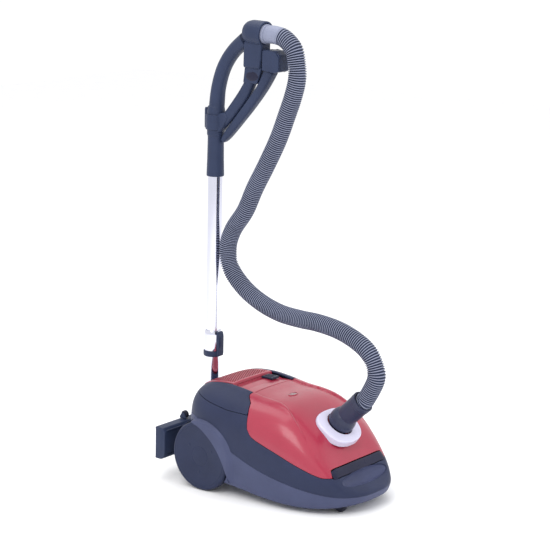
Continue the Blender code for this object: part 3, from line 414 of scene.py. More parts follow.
def master_surface():
    """The whole case as rays from its middle: down the dome, the wall and under the floor."""
    angle = 2 * math.pi * (np.arange(ANGLES) + 0.5) / ANGLES
    c, s = np.cos(angle)[:, None], np.sin(angle)[:, None]
    power = np.where(s > 0, NOSE_POWER, TAIL_POWER)
    length = np.where(s > 0, NOSE_AHEAD - MID_AHEAD, MID_AHEAD - TAIL_AHEAD)
    k = (np.abs(c) ** power + np.abs(s) ** power) ** (-1 / power)
    phi = np.linspace(0.002, math.pi / 2, 300)[None, :]
    rho = np.sin(phi) ** (2 / DOME_POWER)
    rise = np.maximum(np.cos(phi), 0) ** (2 / DOME_ROOT)
    x, ahead = HALF_WIDTH * k * c * rho, MID_AHEAD + length * k * s * rho
    z = smooth_through(RIM_KNOTS, ahead) + smooth_through(DOME_KNOTS, ahead) * rise
    z = z + relief(x, ahead) * np.clip(rise * 3, 0, 1)
    wall = np.array(WALL_PROFILE)
    step = np.linspace(0, 1, len(wall))
    fine = np.linspace(0.004, 1, 110)
    wall_rho, height = np.interp(fine, step, wall[:, 0])[None, :], np.interp(fine, step, wall[:, 1])
    wx, wa = HALF_WIDTH * k * c * wall_rho, MID_AHEAD + length * k * s * wall_rho
    low, rim = smooth_through(FLOOR_KNOTS, wa), smooth_through(RIM_KNOTS, wa)
    wz = low + (rim - low) * height[None, :]
    x, ahead, z = np.hstack([x, wx]), np.hstack([ahead, wa]), np.hstack([z, wz])
    points = np.stack([x, AXLE_Y - ahead, z], axis=2)
    even = np.empty((ANGLES, SAMPLES, 3))
    for i in range(ANGLES):
        run = np.r_[0, np.cumsum(np.linalg.norm(np.diff(points[i], axis=0), axis=1))]
        at = np.linspace(0, run[-1], SAMPLES)
        for axis in range(3):
            even[i, :, axis] = np.interp(at, run, points[i, :, axis])
    along = np.gradient(even, axis=1)
    around = (np.roll(even, -1, axis=0) - np.roll(even, 1, axis=0))
    normal = np.cross(around, along)
    normal /= np.linalg.norm(normal, axis=2, keepdims=True) + 1e-12
    flip = np.sign(np.einsum("ijk,ijk->ij", normal[:, 250:251], even[:, 250:251]
                - np.array([0, AXLE_Y - MID_AHEAD, 0.10])))
    normal *= flip[:, :, None]
    return even, normal


surface, normals = master_surface()
sx, sa, sz = surface[..., 0], AXLE_Y - surface[..., 1], surface[..., 2]
seam_at = np.interp(sz, SEAM_Z, SEAM_A)
foot_at = np.interp(sa, FOOT_A, FOOT_Z)
dome_part = np.arange(SAMPLES)[None, :] < SAMPLES * 0.75
in_lid = np.minimum.reduce([sa - seam_at, np.where(sa > 0.124, sz - smooth_through(LID_EDGE_KNOTS, sa), 1),
            LID_FRONT - sa, sz - 0.07,
            np.maximum(LATCH_BACK - sa, np.abs(sx) - LATCH_HALF)])
in_latch = np.minimum.reduce([sa - LATCH_BACK, 0.3235 - sa, LATCH_HALF - np.abs(sx), sz - 0.0780])
in_deck = np.minimum.reduce([sa + 0.050, 0.0900 - sa, SHOULDER - np.abs(sx), sz - 0.17])
in_pedal = np.minimum.reduce([sz - foot_at, np.abs(sx) - SHOULDER + 0.001, seam_at + 0.003 - sa, sa + 0.0440])
above_parting = sz - smooth_through(PARTING_KNOTS, sa)


def outermost(field, level):
    """Position along each ray where a field last falls through a level."""
    found = np.empty(ANGLES)
    for i in range(ANGLES):
        inside = np.nonzero((field[i] >= level) & dome_part[0])[0]
        j = inside[-1] if len(inside) else 0
        j = min(j, SAMPLES - 2)
        a, b = field[i, j], field[i, j + 1]
        found[i] = j + (np.clip((a - level) / (a - b), 0, 1) if a != b else 0.5)
    return found


def read(grid, rows):
    """Values of a ray grid at fractional positions along every ray."""
    at = np.arange(SAMPLES)
    return np.stack([np.stack([np.interp(rows[:, i], at, grid[i, :, axis]) for i in range(ANGLES)])
                for axis in range(3)], axis=2)


EDGE = 0.0009            # radius along the shut lines
SHELL_THICK = 0.0026


def band(name, start, end, rows, finish, thick=SHELL_THICK, pole=False):
    """A closed shell between two positions along the rays, with rounded edges."""
    step = np.linalg.norm(np.diff(surface, axis=1), axis=2).mean(axis=1)
    pull = EDGE / step
    share = np.linspace(0, 1, rows)[:, None]

    def edge(position, inward):
        made = []
        for turn in (0.0, 0.35, 0.7, 1.0):
            quarter = turn * math.pi / 2
            lift = 1 - math.cos(quarter)
            where = position + inward * pull * (1 - math.sin(quarter))
            p, n = read(surface, where[None, :])[:, 0], read(normals, where[None, :])[:, 0]
            made.append(p - n * EDGE * lift)
        p, n = read(surface, position[None, :])[:, 0], read(normals, position[None, :])[:, 0]
        made.append(p - n * thick)
        return made

    layers = [] if pole else list(reversed(edge(start, 1)))
    margin = pull * 1.2
    body_start = start + (0 if pole else 1) * margin
    body_at = body_start + ((end - margin) - body_start) * share
    body_points, body_normals = read(surface, body_at), read(normals, body_at)
    layers += [body_points[:, i] for i in range(rows)]
    layers += edge(end, -1)
    layers += [body_points[:, i] - body_normals[:, i] * thick for i in range(rows - 1, -1, -1)]
    points = np.concatenate(layers)
    faces = grid_faces(len(layers), ANGLES, close_rows=not pole)
    if pole:
        last = (len(layers) - 1) * ANGLES
        faces += [tuple(range(ANGLES)), tuple(range(last, last + ANGLES))]
    return piece(name, points, faces, finish, sharp=48)


SHUT = 0.00045           # half a shut line
lid_end = outermost(np.where(dome_part, in_lid, -1), SHUT)
case_start = outermost(np.where(dome_part, np.maximum.reduce([in_lid, in_latch, in_deck, in_pedal]), -1),
        -SHUT)
case_end = outermost(np.where(np.arange(SAMPLES)[None, :] < SAMPLES * 0.9, above_parting, -1), 0.0002)
case_end = np.maximum(case_end, case_start + 6)
under_end = np.full(ANGLES, SAMPLES - 2.0)

lid_shell = band("lid_shell", np.zeros(ANGLES) + 0.5, lid_end, 70, "red_plastic", pole=True)
upper_shell = band("upper_shell", case_start, case_end, 34, "case_plastic")
lower_shell = band("lower_shell", case_end + 0.4, under_end, 60, "shell_plastic", pole=False)

SIDES = ((-1, "right"), (1, "left"))

# wheel arches, caster pockets and the finger recess
WHEEL_RADIUS, WHEEL_INNER, WHEEL_OUTER = 0.075, 0.1150, 0.1420
ARCH_RADIUS, ARCH_INNER = 0.0772, 0.1120
WELL_LOW, FENDER_OUT, FENDER_TURN = 0.040, 0.1430, 0.0758
FENDER_THICK, FENDER_SUNK = 0.0008, 0.0010
# ahead, height and the distance from the axle where the fender meets the case
FENDER_EDGE = [(-0.0224, 0.1478, 0.0810), (0.0033, 0.1378, 0.0815), (0.0266, 0.1209, 0.0840),
        (0.0452, 0.1018, 0.0900), (0.0615, 0.0775, 0.0950), (0.0732, 0.0526, 0.1000),
        (0.0800, 0.0337, 0.1060)]
for side in (-1, 1):
    for shell in (upper_shell, lower_shell):
        carve(shell, lathe("cutter", [(0, 0), (ARCH_RADIUS, 0), (ARCH_RADIUS, 0.06), (0, 0.06)],
                    place(side * ARCH_INNER, 0, WHEEL_RADIUS), (side, 0, 0), "shell_plastic",
                    steps=128, soft=1e-5))
    carve(lower_shell, lathe("cutter", [(0, 0), (0.0218, 0), (0.0218, 0.0572), (0, 0.0572)],
                place(side * 0.060, 0.3075, -0.02), (0, 0, 1), "shell_plastic",
                steps=64, soft=1e-5))


def ellipsoid(name, centre, radii, finish, steps=64, rows=32):
    rings = []
    for i in range(rows + 1):
        lift = -math.pi / 2 + math.pi * (0.004 + 0.992 * i / rows)
        rings.append([Vector(centre) + Vector((radii[0] * math.cos(lift) * math.cos(t),
                    radii[1] * math.cos(lift) * math.sin(t),
                    radii[2] * math.sin(lift)))
                    for t in (2 * math.pi * j / steps for j in range(steps))])
    return loft(name, rings, finish)


BOWL_AHEAD, BOWL_HALF = 0.3350, (0.0780, 0.0175, 0.0170)
bowl_at = place(0, BOWL_AHEAD, float(case_height(0, BOWL_AHEAD)) + 0.0025)
carve(upper_shell, ellipsoid("cutter", bowl_at, BOWL_HALF, "case_plastic"))
recess = ellipsoid("finger_recess", bowl_at, [r + 0.0002 for r in BOWL_HALF], "shell_plastic")
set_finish(recess, "case_plastic")
half = bmesh.new()
half.from_mesh(recess.data)
gone = [v for v in half.verts
        if v.co.z > case_height(v.co.x, AXLE_Y - v.co.y) - 0.0006 or AXLE_Y - v.co.y > 0.361]
bmesh.ops.delete(half, geom=gone, context="VERTS")
bmesh.ops.reverse_faces(half, faces=half.faces)
half.to_mesh(recess.data)
half.free()
for shell, body, nodes_of in ((lid_shell, "lid_body", ["lid"]), (upper_shell, "canister", ["upper_case"]),
        (lower_shell, "canister", ["lower_case"]), (recess, "canister", [])):
    if nodes_of:
        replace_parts(shell, *nodes_of)
    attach(shell, body)

# wheel wells inside the arches
for side, mark in SIDES:
    well = lathe(f"wheel_well_{mark}", [(0, 0), (ARCH_RADIUS + 0.0018, 0), (ARCH_RADIUS + 0.0018, 0.018),
                (ARCH_RADIUS + 0.0002, 0.018), (ARCH_RADIUS + 0.0002, 0.002),
                (0, 0.002)],
            place(side * (ARCH_INNER - 0.002), 0, WHEEL_RADIUS), (side, 0, 0), "case_plastic")
    carve(well, prism("cutter", [(-0.12, -0.05), (0.12, -0.05), (0.12, WELL_LOW), (-0.12, WELL_LOW)],
                side * 0.09, side * 0.15, "case_plastic", 1e-5))
    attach(well, "canister")

# fenders over the upper front of the wheels
for side, mark in SIDES:
    rings = []
    edge_line = spline_points(FENDER_EDGE, 48)
    for a_in, z_in, reach in edge_line:
        out = np.array([a_in, z_in - WHEEL_RADIUS])
        near = float(np.linalg.norm(out))
        out /= near
        skin = []
        for t in np.linspace(0, 1, 26):
            radius = near + (reach - near) * t
            a, z = out[0] * radius, WHEEL_RADIUS + out[1] * radius
            ease = min(1.0, max(0.0, (radius - FENDER_TURN) / (reach - FENDER_TURN)))
            ease = ease * ease * (3 - 2 * ease)
            skin.append((FENDER_OUT * (1 - ease) + (case_half_width(a, z) - FENDER_SUNK) * ease, a, z))
        inner = [(x - FENDER_THICK, a, z) for x, a, z in reversed(skin)]
        inner[-1] = (FENDER_OUT - 0.0009, skin[0][1], skin[0][2])
        rings.append([place(side * x, a, z) for x, a, z in skin + inner])
    fender = loft(f"fender_{mark}", rings, "shell_plastic", sharp=50)
    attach(fender, "canister")

# ---------------------------------------------------------------- deck, pedals, latch
def patch(name, outer, finish, thick, **kw):
    """A closed plate from a grid of outer points, thick along -Z, with straight walls round its border."""
    rows, columns = outer.shape[:2]
    du = np.gradient(outer, axis=0)
    dv = np.gradient(outer, axis=1)
    normal = np.cross(du, dv)
    normal /= np.linalg.norm(normal, axis=2, keepdims=True) + 1e-12
    normal *= np.sign(normal[rows // 2, columns // 2, 2])
    points = list(outer.reshape(-1, 3)) + list((outer - normal * thick).reshape(-1, 3))
    faces = grid_faces(rows, columns, close_columns=False)
    under = rows * columns
    faces += [tuple(under + k for k in reversed(f)) for f in faces]
    border = ([(0, j) for j in range(columns)] + [(i, columns - 1) for i in range(1, rows)]
            + [(rows - 1, j) for j in range(columns - 2, -1, -1)]
            + [(i, 0) for i in range(rows - 2, 0, -1)])
    ids = [i * columns + j for i, j in border]
    faces += [(a, b, b + under, a + under) for a, b in zip(ids, ids[1:] + ids[:1])]
    return piece(name, points, faces, finish, **kw)


DECK_REAR, DECK_FRONT = -0.0495, 0.0892
RIB_PITCH, RIB_DEPTH = 0.0050, 0.0028
DECK_RISE, DECK_SINK = 0.0042, 0.0036
GRILLE = (-0.0440, 0.0270, 0.0590)       # rear, front and half width
rows = np.linspace(DECK_REAR, DECK_FRONT, 250)
columns = np.linspace(-SHOULDER + 0.0006, SHOULDER - 0.0006, 250)
dx, da = np.meshgrid(columns, rows)
border = np.minimum.reduce([SHOULDER - 0.0006 - np.abs(dx), da - DECK_REAR, DECK_FRONT - da])
dz = case_height(dx, da) - EDGE * (1 - np.sqrt(1 - (1 - np.clip(border / EDGE, 0, 1)) ** 2))
dz += DECK_RISE * (0.5 - 0.5 * np.tanh((da - 0.0325) / 0.0009))
dz -= DECK_SINK * (0.5 + 0.5 * np.tanh((da - 0.0325) / 0.0009)) * np.clip((0.086 - da) / 0.022, 0, 1)
inside = np.clip(np.minimum.reduce([da - GRILLE[0], GRILLE[1] - da, GRILLE[2] - np.abs(dx)]) / 0.0012, 0, 1)
phase = (dx * 0.514 + da * 0.857) / RIB_PITCH
wave = 0.5 + 0.5 * np.cos(2 * math.pi * phase)
dz -= RIB_DEPTH * inside * (1 / (1 + np.exp(-(wave - 0.52) * 14)))
slot_mask = (np.clip((0.0035 - np.abs(da - 0.0415)) / 0.0006, 0, 1)
        * np.clip((0.053 - np.abs(dx - 0.001)) / 0.0006, 0, 1))
dz -= 0.0030 * slot_mask
deck = patch("deck_top", np.stack([dx, AXLE_Y - da, dz], axis=2), "red_plastic", 0.0090)
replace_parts(deck, "rear_deck")
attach(deck, "canister")

for side, mark in ((-1, "power_pedal"), (1, "cord_pedal")):
    lines = []
    for ahead in np.linspace(-0.0436, 0.1150, 130):
        xs = np.linspace(SHOULDER + 0.0004, HALF_WIDTH - 0.0001, 700)
        zs = case_height(xs, ahead)
        seam_here = np.interp(zs, SEAM_Z, SEAM_A)
        low = np.interp(ahead, FOOT_A, FOOT_Z) + 0.0003
        ok = (zs >= low) & (seam_here - 0.0009 >= ahead)
        ok[:1] |= ahead < 0.085
        keep = np.nonzero(ok)[0]
        if len(keep) < 6:
            continue
        xs, zs = xs[keep[0]:keep[-1] + 1], zs[keep[0]:keep[-1] + 1]
        run = np.r_[0, np.cumsum(np.hypot(np.diff(xs), np.diff(zs)))]
        at = np.linspace(0, run[-1], 60)
        px, pz = np.interp(at, run, xs), np.interp(at, run, zs)
        lines.append(np.stack([side * px, np.full(60, AXLE_Y - ahead), pz], axis=1))
    panel = patch(mark + "_panel", np.array(lines), "case_plastic", 0.0062)
    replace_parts(softened(panel, 0.0007, angle=55), mark)
    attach(panel, mark + "_body")

LATCH_A = (0.3104, 0.3228)
bar_lines = []
for x in np.linspace(-0.0893, 0.0893, 160):
    line = []
    end = max(0.0, (abs(x) - 0.080) / 0.0093)
    for ahead in np.linspace(LATCH_A[0], LATCH_A[1], 24):
        across = (ahead - LATCH_A[0]) / (LATCH_A[1] - LATCH_A[0]) * 2 - 1
        swell = 0.0030 * math.sqrt(max(0, 1 - across**2)) * math.sqrt(max(0, 1 - end**2))
        line.append((x, AXLE_Y - ahead, float(case_height(x, ahead)) - 0.0006 + swell))
    bar_lines.append(line)
latch = patch("latch_grip", np.array(bar_lines), "black_plastic", 0.0052)
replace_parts(latch, "latch_bar")
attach(latch, "latch")

slider_top = float(case_height(0, 0.049)) - DECK_SINK
knob = softened(loft("slider_knob", [
    [place(x, a, slider_top + z) for x, a in ((0.0255 + s, 0.0350 + s), (0.0515 - s, 0.0350 + s),
            (0.0515 - s, 0.0650 - s), (0.0255 + s, 0.0650 - s))]
    for z, s in ((0.0003, 0.0), (0.0032, 0.0004), (0.0048, 0.0016))], "black_plastic"), 0.0009)
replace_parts(knob, "suction_slider")
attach(knob, "slider")
for i in range(4):
    at = 0.0415 + 0.0050 * i
    rib = prism(f"slider_rib_{i}", [(at, slider_top + 0.0044), (at + 0.0014, slider_top + 0.0044),
                (at + 0.0014, slider_top + 0.0056), (at, slider_top + 0.0056)],
            0.0290, 0.0480, "black_plastic", 0.0003)
    rib.parent = knob

# dust indicator: an oval bezel and window that follow the lid
INDICATOR = (-0.012, 0.1525, 0.0145, 0.0072)
for name, low, high, lift, finish in (("indicator_bezel", 0.80, 1.0, 0.0014, "red_plastic"),
        ("indicator_window", 0.0, 0.80, 0.0009, "clear_plastic")):
    rings = []
    for share, up in ((high, -0.0006), (high, lift * 0.6), (high - 0.04, lift), (low + 0.04, lift),
            (low + 0.0001, lift * 0.6), (low + 0.0001, -0.0006)):
        ring = []
        for j in range(64):
            t = 2 * math.pi * j / 64
            x = INDICATOR[0] + INDICATOR[2] * share * math.cos(t)
            ahead = INDICATOR[1] + INDICATOR[3] * share * math.sin(t)
            ring.append(place(x, ahead, float(case_height(x, ahead)) + up))
        rings.append(ring)
    made = loft(name, rings, finish, caps=False, closed=True)
    if name == "indicator_window":
        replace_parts(made, "dust_indicator")
    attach(made, "lid_body")

# ---------------------------------------------------------------- inlet ring and elbow
INLET_AHEAD, INLET_Z, INLET_TILT = 0.2600, 0.1560, math.radians(37)
RING_HALF, RING_SHIFT = (0.0535, 0.0450), -0.0030
INLET_NORMAL = Vector((0, -math.sin(INLET_TILT), math.cos(INLET_TILT)))
INLET_SLOPE = Vector((0, math.cos(INLET_TILT), math.sin(INLET_TILT)))


def inlet_point(x, up_slope, out):
    return place(x, INLET_AHEAD, INLET_Z) + INLET_SLOPE * up_slope + INLET_NORMAL * out


ring_profile = rounded([(1.0, -0.004), (1.0, 0.0085), (0.955, 0.0112), (0.80, 0.0122), (0.62, 0.0122),
            (0.585, 0.0090), (0.585, -0.004)], 0.03)
rings = []
for reach, out in ring_profile:
    ring = []
    for j in range(128):
        t = 2 * math.pi * j / 128
        c, s = math.cos(t), math.sin(t)
        k = (abs(c) ** 2.6 + abs(s) ** 2.6) ** (-1 / 2.6)
        blend = min(1.0, max(0.0, (reach - 0.60) / 0.35))
        outer = Vector((RING_HALF[0] * reach * k * c * (1.0 + 0.10 * s),
                    RING_HALF[1] * reach * k * s + RING_SHIFT))
        inner = Vector((0.0290 * c, 0.0290 * s)) * (reach / 0.60)
        p = inner.lerp(outer, blend)
        ring.append(inlet_point(p.x, p.y, out))
    rings.append(ring)
trim = loft("inlet_trim", rings, "silver_plastic", caps=False, closed=True)
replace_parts(trim, "trim_ring")
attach(trim, "lid_body")

CUFF_AXIS = Vector((0, -math.cos(math.radians(43)), math.sin(math.radians(43))))
BEND = inlet_point(0, 0, 0.0270)
dome = lathe("elbow_dome", [(0, -0.0190), (0.0222, -0.0190), (0.0222, 0.0120), (0.0272, 0.0128),
            (0.0280, 0.0150), (0.0286, 0.0220), (0.0280, 0.0300), (0.0256, 0.0376),
            (0.0212, 0.0440), (0.0140, 0.0486), (0.0065, 0.0505), (0, 0.0508)],
        inlet_point(0, 0, 0), INLET_NORMAL, "elbow_plastic", slot="black_plastic", soft=0.003, steps=128)
sleeve = lathe("elbow_sleeve", [(0, 0), (0.0228, 0), (0.0232, 0.0300), (0.0236, 0.0560), (0.0243, 0.0572),
            (0.0243, 0.0682), (0.0234, 0.0690), (0.0205, 0.0690), (0.0201, 0.0600),
            (0, 0.0600)],
        BEND, CUFF_AXIS, "elbow_plastic", slot="black_plastic", steps=128)
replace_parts(dome, "inlet_elbow")
for made in (dome, sleeve):
    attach(made, "elbow")

# ---------------------------------------------------------------- wheels and casters
for side, mark in SIDES:
    hub = place(side * WHEEL_INNER, 0, WHEEL_RADIUS)
    width = WHEEL_OUTER - WHEEL_INNER
    tyre = lathe(f"wheel_disc_{mark}",
            [(0, width - 0.0032), (0.020, width - 0.0030), (0.0212, width - 0.0036),
                (0.0224, width - 0.0030),
                (0.050, width - 0.0016), (0.0655, width - 0.0004), (0.0668, width - 0.0012),
                (0.0680, width - 0.0004), (0.0722, width - 0.0010), (WHEEL_RADIUS, width - 0.0045),
                (WHEEL_RADIUS, 0.003), (0.0730, 0.0), (0.0640, 0.0), (0.0620, 0.015),
                (0.0160, 0.015), (0.0140, 0.0), (0.0070, 0.0), (0.0070, 0.019), (0, 0.019)],
            hub, (side, 0, 0), "wheel_plastic", slot="dark_plastic", steps=160, soft=0.0016)
    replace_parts(tyre, f"rear_wheel_{mark}")
    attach(tyre, f"wheel_{mark}")
    for i in range(3):
        turn = 2 * math.pi * i / 3 + 0.6
        at = hub + Vector((side * (width - 0.0030), 0.036 * math.cos(turn), 0.036 * math.sin(turn)))
        dimple = lathe(f"wheel_mark_{mark}_{i}", [(0, 0), (0.0035, 0), (0.0035, 0.0010), (0, 0.0013)],
                at, (side, 0, 0), "wheel_plastic", slot="dark_plastic", steps=32, soft=0.0004)
        dimple.parent = tyre
    axle = place(side * 0.060, 0.3165, 0.0115)
    roller = lathe(f"caster_tread_{mark}",
            [(0, -0.0115), (0.0020, -0.0115), (0.0020, -0.0070), (0.0085, -0.0070), (0.0105, -0.0064),
                (0.0115, -0.0045), (0.0115, 0.0045), (0.0105, 0.0064), (0.0085, 0.0070),
                (0.0020, 0.0070), (0.0020, 0.0115), (0, 0.0115)],
            axle, (1, 0, 0), "rubber", steps=64, soft=0.0008)
    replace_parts(roller, f"caster_roller_{mark}")
    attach(roller, f"roller_{mark}")

# ---------------------------------------------------------------- wand
WAND_AHEAD, WAND_LEAN = -0.0887, math.radians(1.6)
LEAN_C, LEAN_S = math.cos(WAND_LEAN), math.sin(WAND_LEAN)
WAND_UP = Vector((0, -LEAN_S, LEAN_C))


def wand(x, forward, z):
    """A row-frame point from the wand's own frame: across, forward of its axis, and up it."""
    return Vector((x, AXLE_Y - WAND_AHEAD - forward * LEAN_C - z * LEAN_S, -forward * LEAN_S + z * LEAN_C))


def on_wand(name, profile, finish, body, *nodes_of, **kw):
    made = lathe(name, profile, wand(0, 0, 0), WAND_UP, finish, **kw)
    if nodes_of:
        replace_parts(made, *nodes_of)
    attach(made, body)
    return made


def bar(name, stations, finish, count=60, steps=40, squareness=2.0, tip=0.0, **kw):
    """A bar swept in the wand's plane through (forward, height, half_x, half_across) stations."""
    line = spline_points(stations, count)
    rings = []
    for i in range(count):
        f, z, half_x, half_across = line[i]
        run = line[min(i + 1, count - 1), :2] - line[max(i - 1, 0), :2]
        run = run / np.linalg.norm(run)
        end = min(i, count - 1 - i) / (count - 1)
        close = math.sqrt(max(0.0, 1 - (1 - min(1.0, end / tip)) ** 2)) if tip else 1.0
        close = max(close, 0.25)
        ring = []
        for j in range(steps):
            t = 2 * math.pi * j / steps
            c, s = math.cos(t), math.sin(t)
            k = (abs(c) ** squareness + abs(s) ** squareness) ** (-1 / squareness)
            across = half_across * close * k * s
            ring.append(wand(half_x * close * k * c, f + run[1] * across, z - run[0] * across))
        rings.append(ring)
    return loft(name, rings, finish, **kw)


def wand_block(name, x_half, outline, finish, width=0.001, **kw):
    return prism(name, outline, -x_half, x_half, finish, width, to_world=wand, **kw)


on_wand("chrome_upper", [(0.0146, 0.3000), (0.0156, 0.3000), (0.0156, 0.6900), (0.0146, 0.6900)],
        "chrome", "wand_upper", "upper_tube", ring=True, steps=128)
on_wand("chrome_lower", [(0.0133, 0.1550), (0.0143, 0.1550), (0.0143, 0.6000), (0.0133, 0.6000)],
        "chrome", "wand_lower", "lower_tube", ring=True, steps=128)
on_wand("chrome_sleeve", [(0.0160, 0.2680), (0.0184, 0.2680), (0.0188, 0.2760), (0.0188, 0.3060),
            (0.0178, 0.3115), (0.0166, 0.3140), (0.0160, 0.3140)],
        "chrome", "wand_upper", "slide_sleeve", ring=True, steps=128, soft=0.0012)
on_wand("collar_ring", [(0.0146, 0.2560), (0.0200, 0.2560), (0.0206, 0.2585), (0.0206, 0.2650),
            (0.0202, 0.2676), (0.0146, 0.2676)],
        "dark_plastic", "wand_upper", "slide_collar", ring=True, soft=0.0008)
housing = wand_block("collar_housing", 0.0088, [(0.0178, 0.2565), (0.0232, 0.2575), (0.0243, 0.2640),
            (0.0243, 0.3020), (0.0225, 0.3105), (0.0180, 0.3130)],
        "dark_plastic", 0.0018)
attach(housing, "wand_upper")
button = wand_block("release_thumb", 0.0056, [(0.0235, 0.2766), (0.0256, 0.2775), (0.0262, 0.2890),
            (0.0256, 0.3005), (0.0235, 0.3014)], "case_plastic", 0.0009)
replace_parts(button, "release_button")
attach(button, "release")

# ---------------------------------------------------------------- handle
on_wand("handle_ferrule", [(0.0001, 0.6960), (0.0163, 0.6960), (0.0163, 0.6550), (0.0188, 0.6550),
            (0.0190, 0.6580), (0.0180, 0.6900),
            (0.0173, 0.7380), (0.0176, 0.7420), (0.0190, 0.7440), (0.0195, 0.7700),
            (0.0195, 0.7940), (0.0178, 0.8040), (0.0120, 0.8120), (0.0001, 0.8150)],
        "dark_plastic", "wand_upper", "handle", soft=0.0010)
parts = [
    bar("handle_bow", [(0.000, 0.776, 0.0155, 0.0165), (0.002, 0.812, 0.0155, 0.0162),
            (0.006, 0.845, 0.0152, 0.0152), (0.0165, 0.880, 0.0150, 0.0150),
            (0.0320, 0.908, 0.0150, 0.0150), (0.0530, 0.932, 0.0158, 0.0152),
            (0.0800, 0.952, 0.0185, 0.0170)], "dark_plastic", squareness=2.3),
    bar("handle_brace", [(0.0040, 0.7530, 0.0120, 0.0115), (0.0345, 0.7845, 0.0112, 0.0128),
            (0.0595, 0.8140, 0.0110, 0.0135), (0.0805, 0.8420, 0.0112, 0.0135),
            (0.0960, 0.8700, 0.0122, 0.0122), (0.1040, 0.8980, 0.0142, 0.0142),
            (0.1060, 0.9540, 0.0165, 0.0175)], "dark_plastic", squareness=2.6)]
SOCKET_AT = wand(0, 0.0820, 0.9690)
SOCKET_AXIS = (wand(0, 1.0, -0.02) - wand(0, 0, 0)).normalized()
parts.append(lathe("handle_socket", [(0, 0.0), (0.0190, 0.0), (0.0232, 0.0050), (0.0262, 0.0150),
            (0.0264, 0.0260), (0.0264, 0.0490), (0.0256, 0.0500),
            (0.0216, 0.0500), (0.0216, 0.0300), (0, 0.0300)],
            SOCKET_AT, SOCKET_AXIS, "dark_plastic", soft=0.0022))
parts.append(wand_block("handle_cheek", 0.0170, [(0.0840, 0.8960), (0.1280, 0.8960), (0.1320, 0.9200),
            (0.1320, 0.9500), (0.0850, 0.9520)],
            "dark_plastic", 0.0045))
parts.append(wand_block("handle_saddle", 0.0130, [(0.0060, 0.7420), (0.0270, 0.7600), (0.0420, 0.7850),
            (0.0330, 0.7960), (0.0060, 0.7900)],
            "dark_plastic", 0.0040))
parts.append(wand_block("handle_slot_frame", 0.0128, [(0.0820, 0.8640), (0.1190, 0.8640), (0.1310, 0.8985),
            (0.0860, 0.8985)], "dark_plastic", 0.0025))
for made in parts:
    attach(made, "wand_upper")
# painted shade: a thin black oval on the side of the handle stands in for the shade inside its hollow
hollow_shade = ellipsoid("handle_hollow_shade", wand(-0.0122, 0.1065, 0.8795), (0.0026, 0.0165, 0.0100), "black_plastic")
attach(hollow_shade, "wand_upper")
on_wand("clip_band", [(0.0197, 0.7560), (0.0222, 0.7560), (0.0225, 0.7600), (0.0225, 0.7840),
            (0.0222, 0.7880), (0.0197, 0.7880)],
        "dark_plastic", "wand_upper", "tool_clip", ring=True, soft=0.0010)
tab = wand_block("clip_tab", 0.0072, [(-0.0205, 0.7560), (-0.0262, 0.7575), (-0.0266, 0.7700),
            (-0.0266, 0.7960), (-0.0255, 0.8010), (-0.0205, 0.8010)],
        "dark_plastic", 0.0012)
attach(tab, "wand_upper")

# stowed brush
tool_parts = [
    bar("tool_shank", [(0.0195, 0.7290, 0.0080, 0.0030), (0.0330, 0.7450, 0.0105, 0.0078),
            (0.0650, 0.7820, 0.0112, 0.0098), (0.1000, 0.8230, 0.0122, 0.0104),
            (0.1290, 0.8610, 0.0132, 0.0108), (0.1510, 0.9000, 0.0142, 0.0130)],
        "dark_plastic", squareness=3.2, tip=0.04),
    wand_block("tool_latch", 0.0062, [(0.1010, 0.8130), (0.1085, 0.8190), (0.1125, 0.8270),
            (0.1090, 0.8330), (0.1000, 0.8250)], "dark_plastic", 0.0012),
]
for x in (-0.0158, 0.0158):
    plate = wand_block("tool_cheek", 0.0022, [(0.1365, 0.8950), (0.1700, 0.8920), (0.1795, 0.8960),
                (0.1800, 0.9230), (0.1700, 0.9350), (0.1500, 0.9380),
                (0.1365, 0.9350)], "dark_plastic", 0.0012)
    plate.data.transform(Matrix.Translation((x, 0, 0)))
    plate.name = f"tool_cheek_{'left' if x > 0 else 'right'}"
    tool_parts.append(plate)
for name, outline in (("tool_roof", [(0.1365, 0.9230), (0.1800, 0.9180), (0.1790, 0.9290), (0.1680, 0.9370),
            (0.1365, 0.9370)]),
        ("tool_back", [(0.1365, 0.8950), (0.1480, 0.8950), (0.1480, 0.9360), (0.1365, 0.9360)]),
        ("tool_front", [(0.1730, 0.8930), (0.1800, 0.8960), (0.1800, 0.9260),
            (0.1730, 0.9260)])):
    tool_parts.append(wand_block(name, 0.0150, outline, "dark_plastic", 0.0012))
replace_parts(tool_parts[0], "brush_tool")
for made in tool_parts:
    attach(made, "tool")


def hairs(name, roots, tip_offset, thick, body, nodes_of=(), wobble=0.0008, seed=3):
    """Many thin bristles as one mesh."""
    rng = np.random.default_rng(seed)
    points, faces = [], []
    for root in roots:
        tip = root + tip_offset + Vector(rng.uniform(-wobble, wobble, 3))
        run = (tip - root).normalized()
        side = run.orthogonal().normalized()
        other = run.cross(side)
        base = len(points)
        for at, r in ((root, thick), (root.lerp(tip, 0.6), thick * 0.9), (tip, thick * 0.45)):
            points += [at + r * (side * math.cos(a) + other * math.sin(a)) for a in (0.3, 2.4, 4.5)]
        faces += [tuple(base + k for k in f) for f in
                ((0, 1, 4, 3), (1, 2, 5, 4), (2, 0, 3, 5), (3, 4, 7, 6), (4, 5, 8, 7), (5, 3, 6, 8),
                   (2, 1, 0), (6, 7, 8))]
    made = piece(name, points, faces, "bristle", recalc=False)
    if nodes_of:
        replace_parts(made, *nodes_of)
    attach(made, body)
    return made


rng = np.random.default_rng(11)
roots = [wand(x + float(rng.uniform(-4e-4, 4e-4)), f, 0.9235) for x in np.linspace(-0.0125, 0.0125, 12)
        for f in np.linspace(0.1495, 0.1715, 12)]
hairs("brush_hair", roots, wand(0, 0, 0.8985) - wand(0, 0, 0.9235), 0.00045, "tool", ["brush_bristles"])

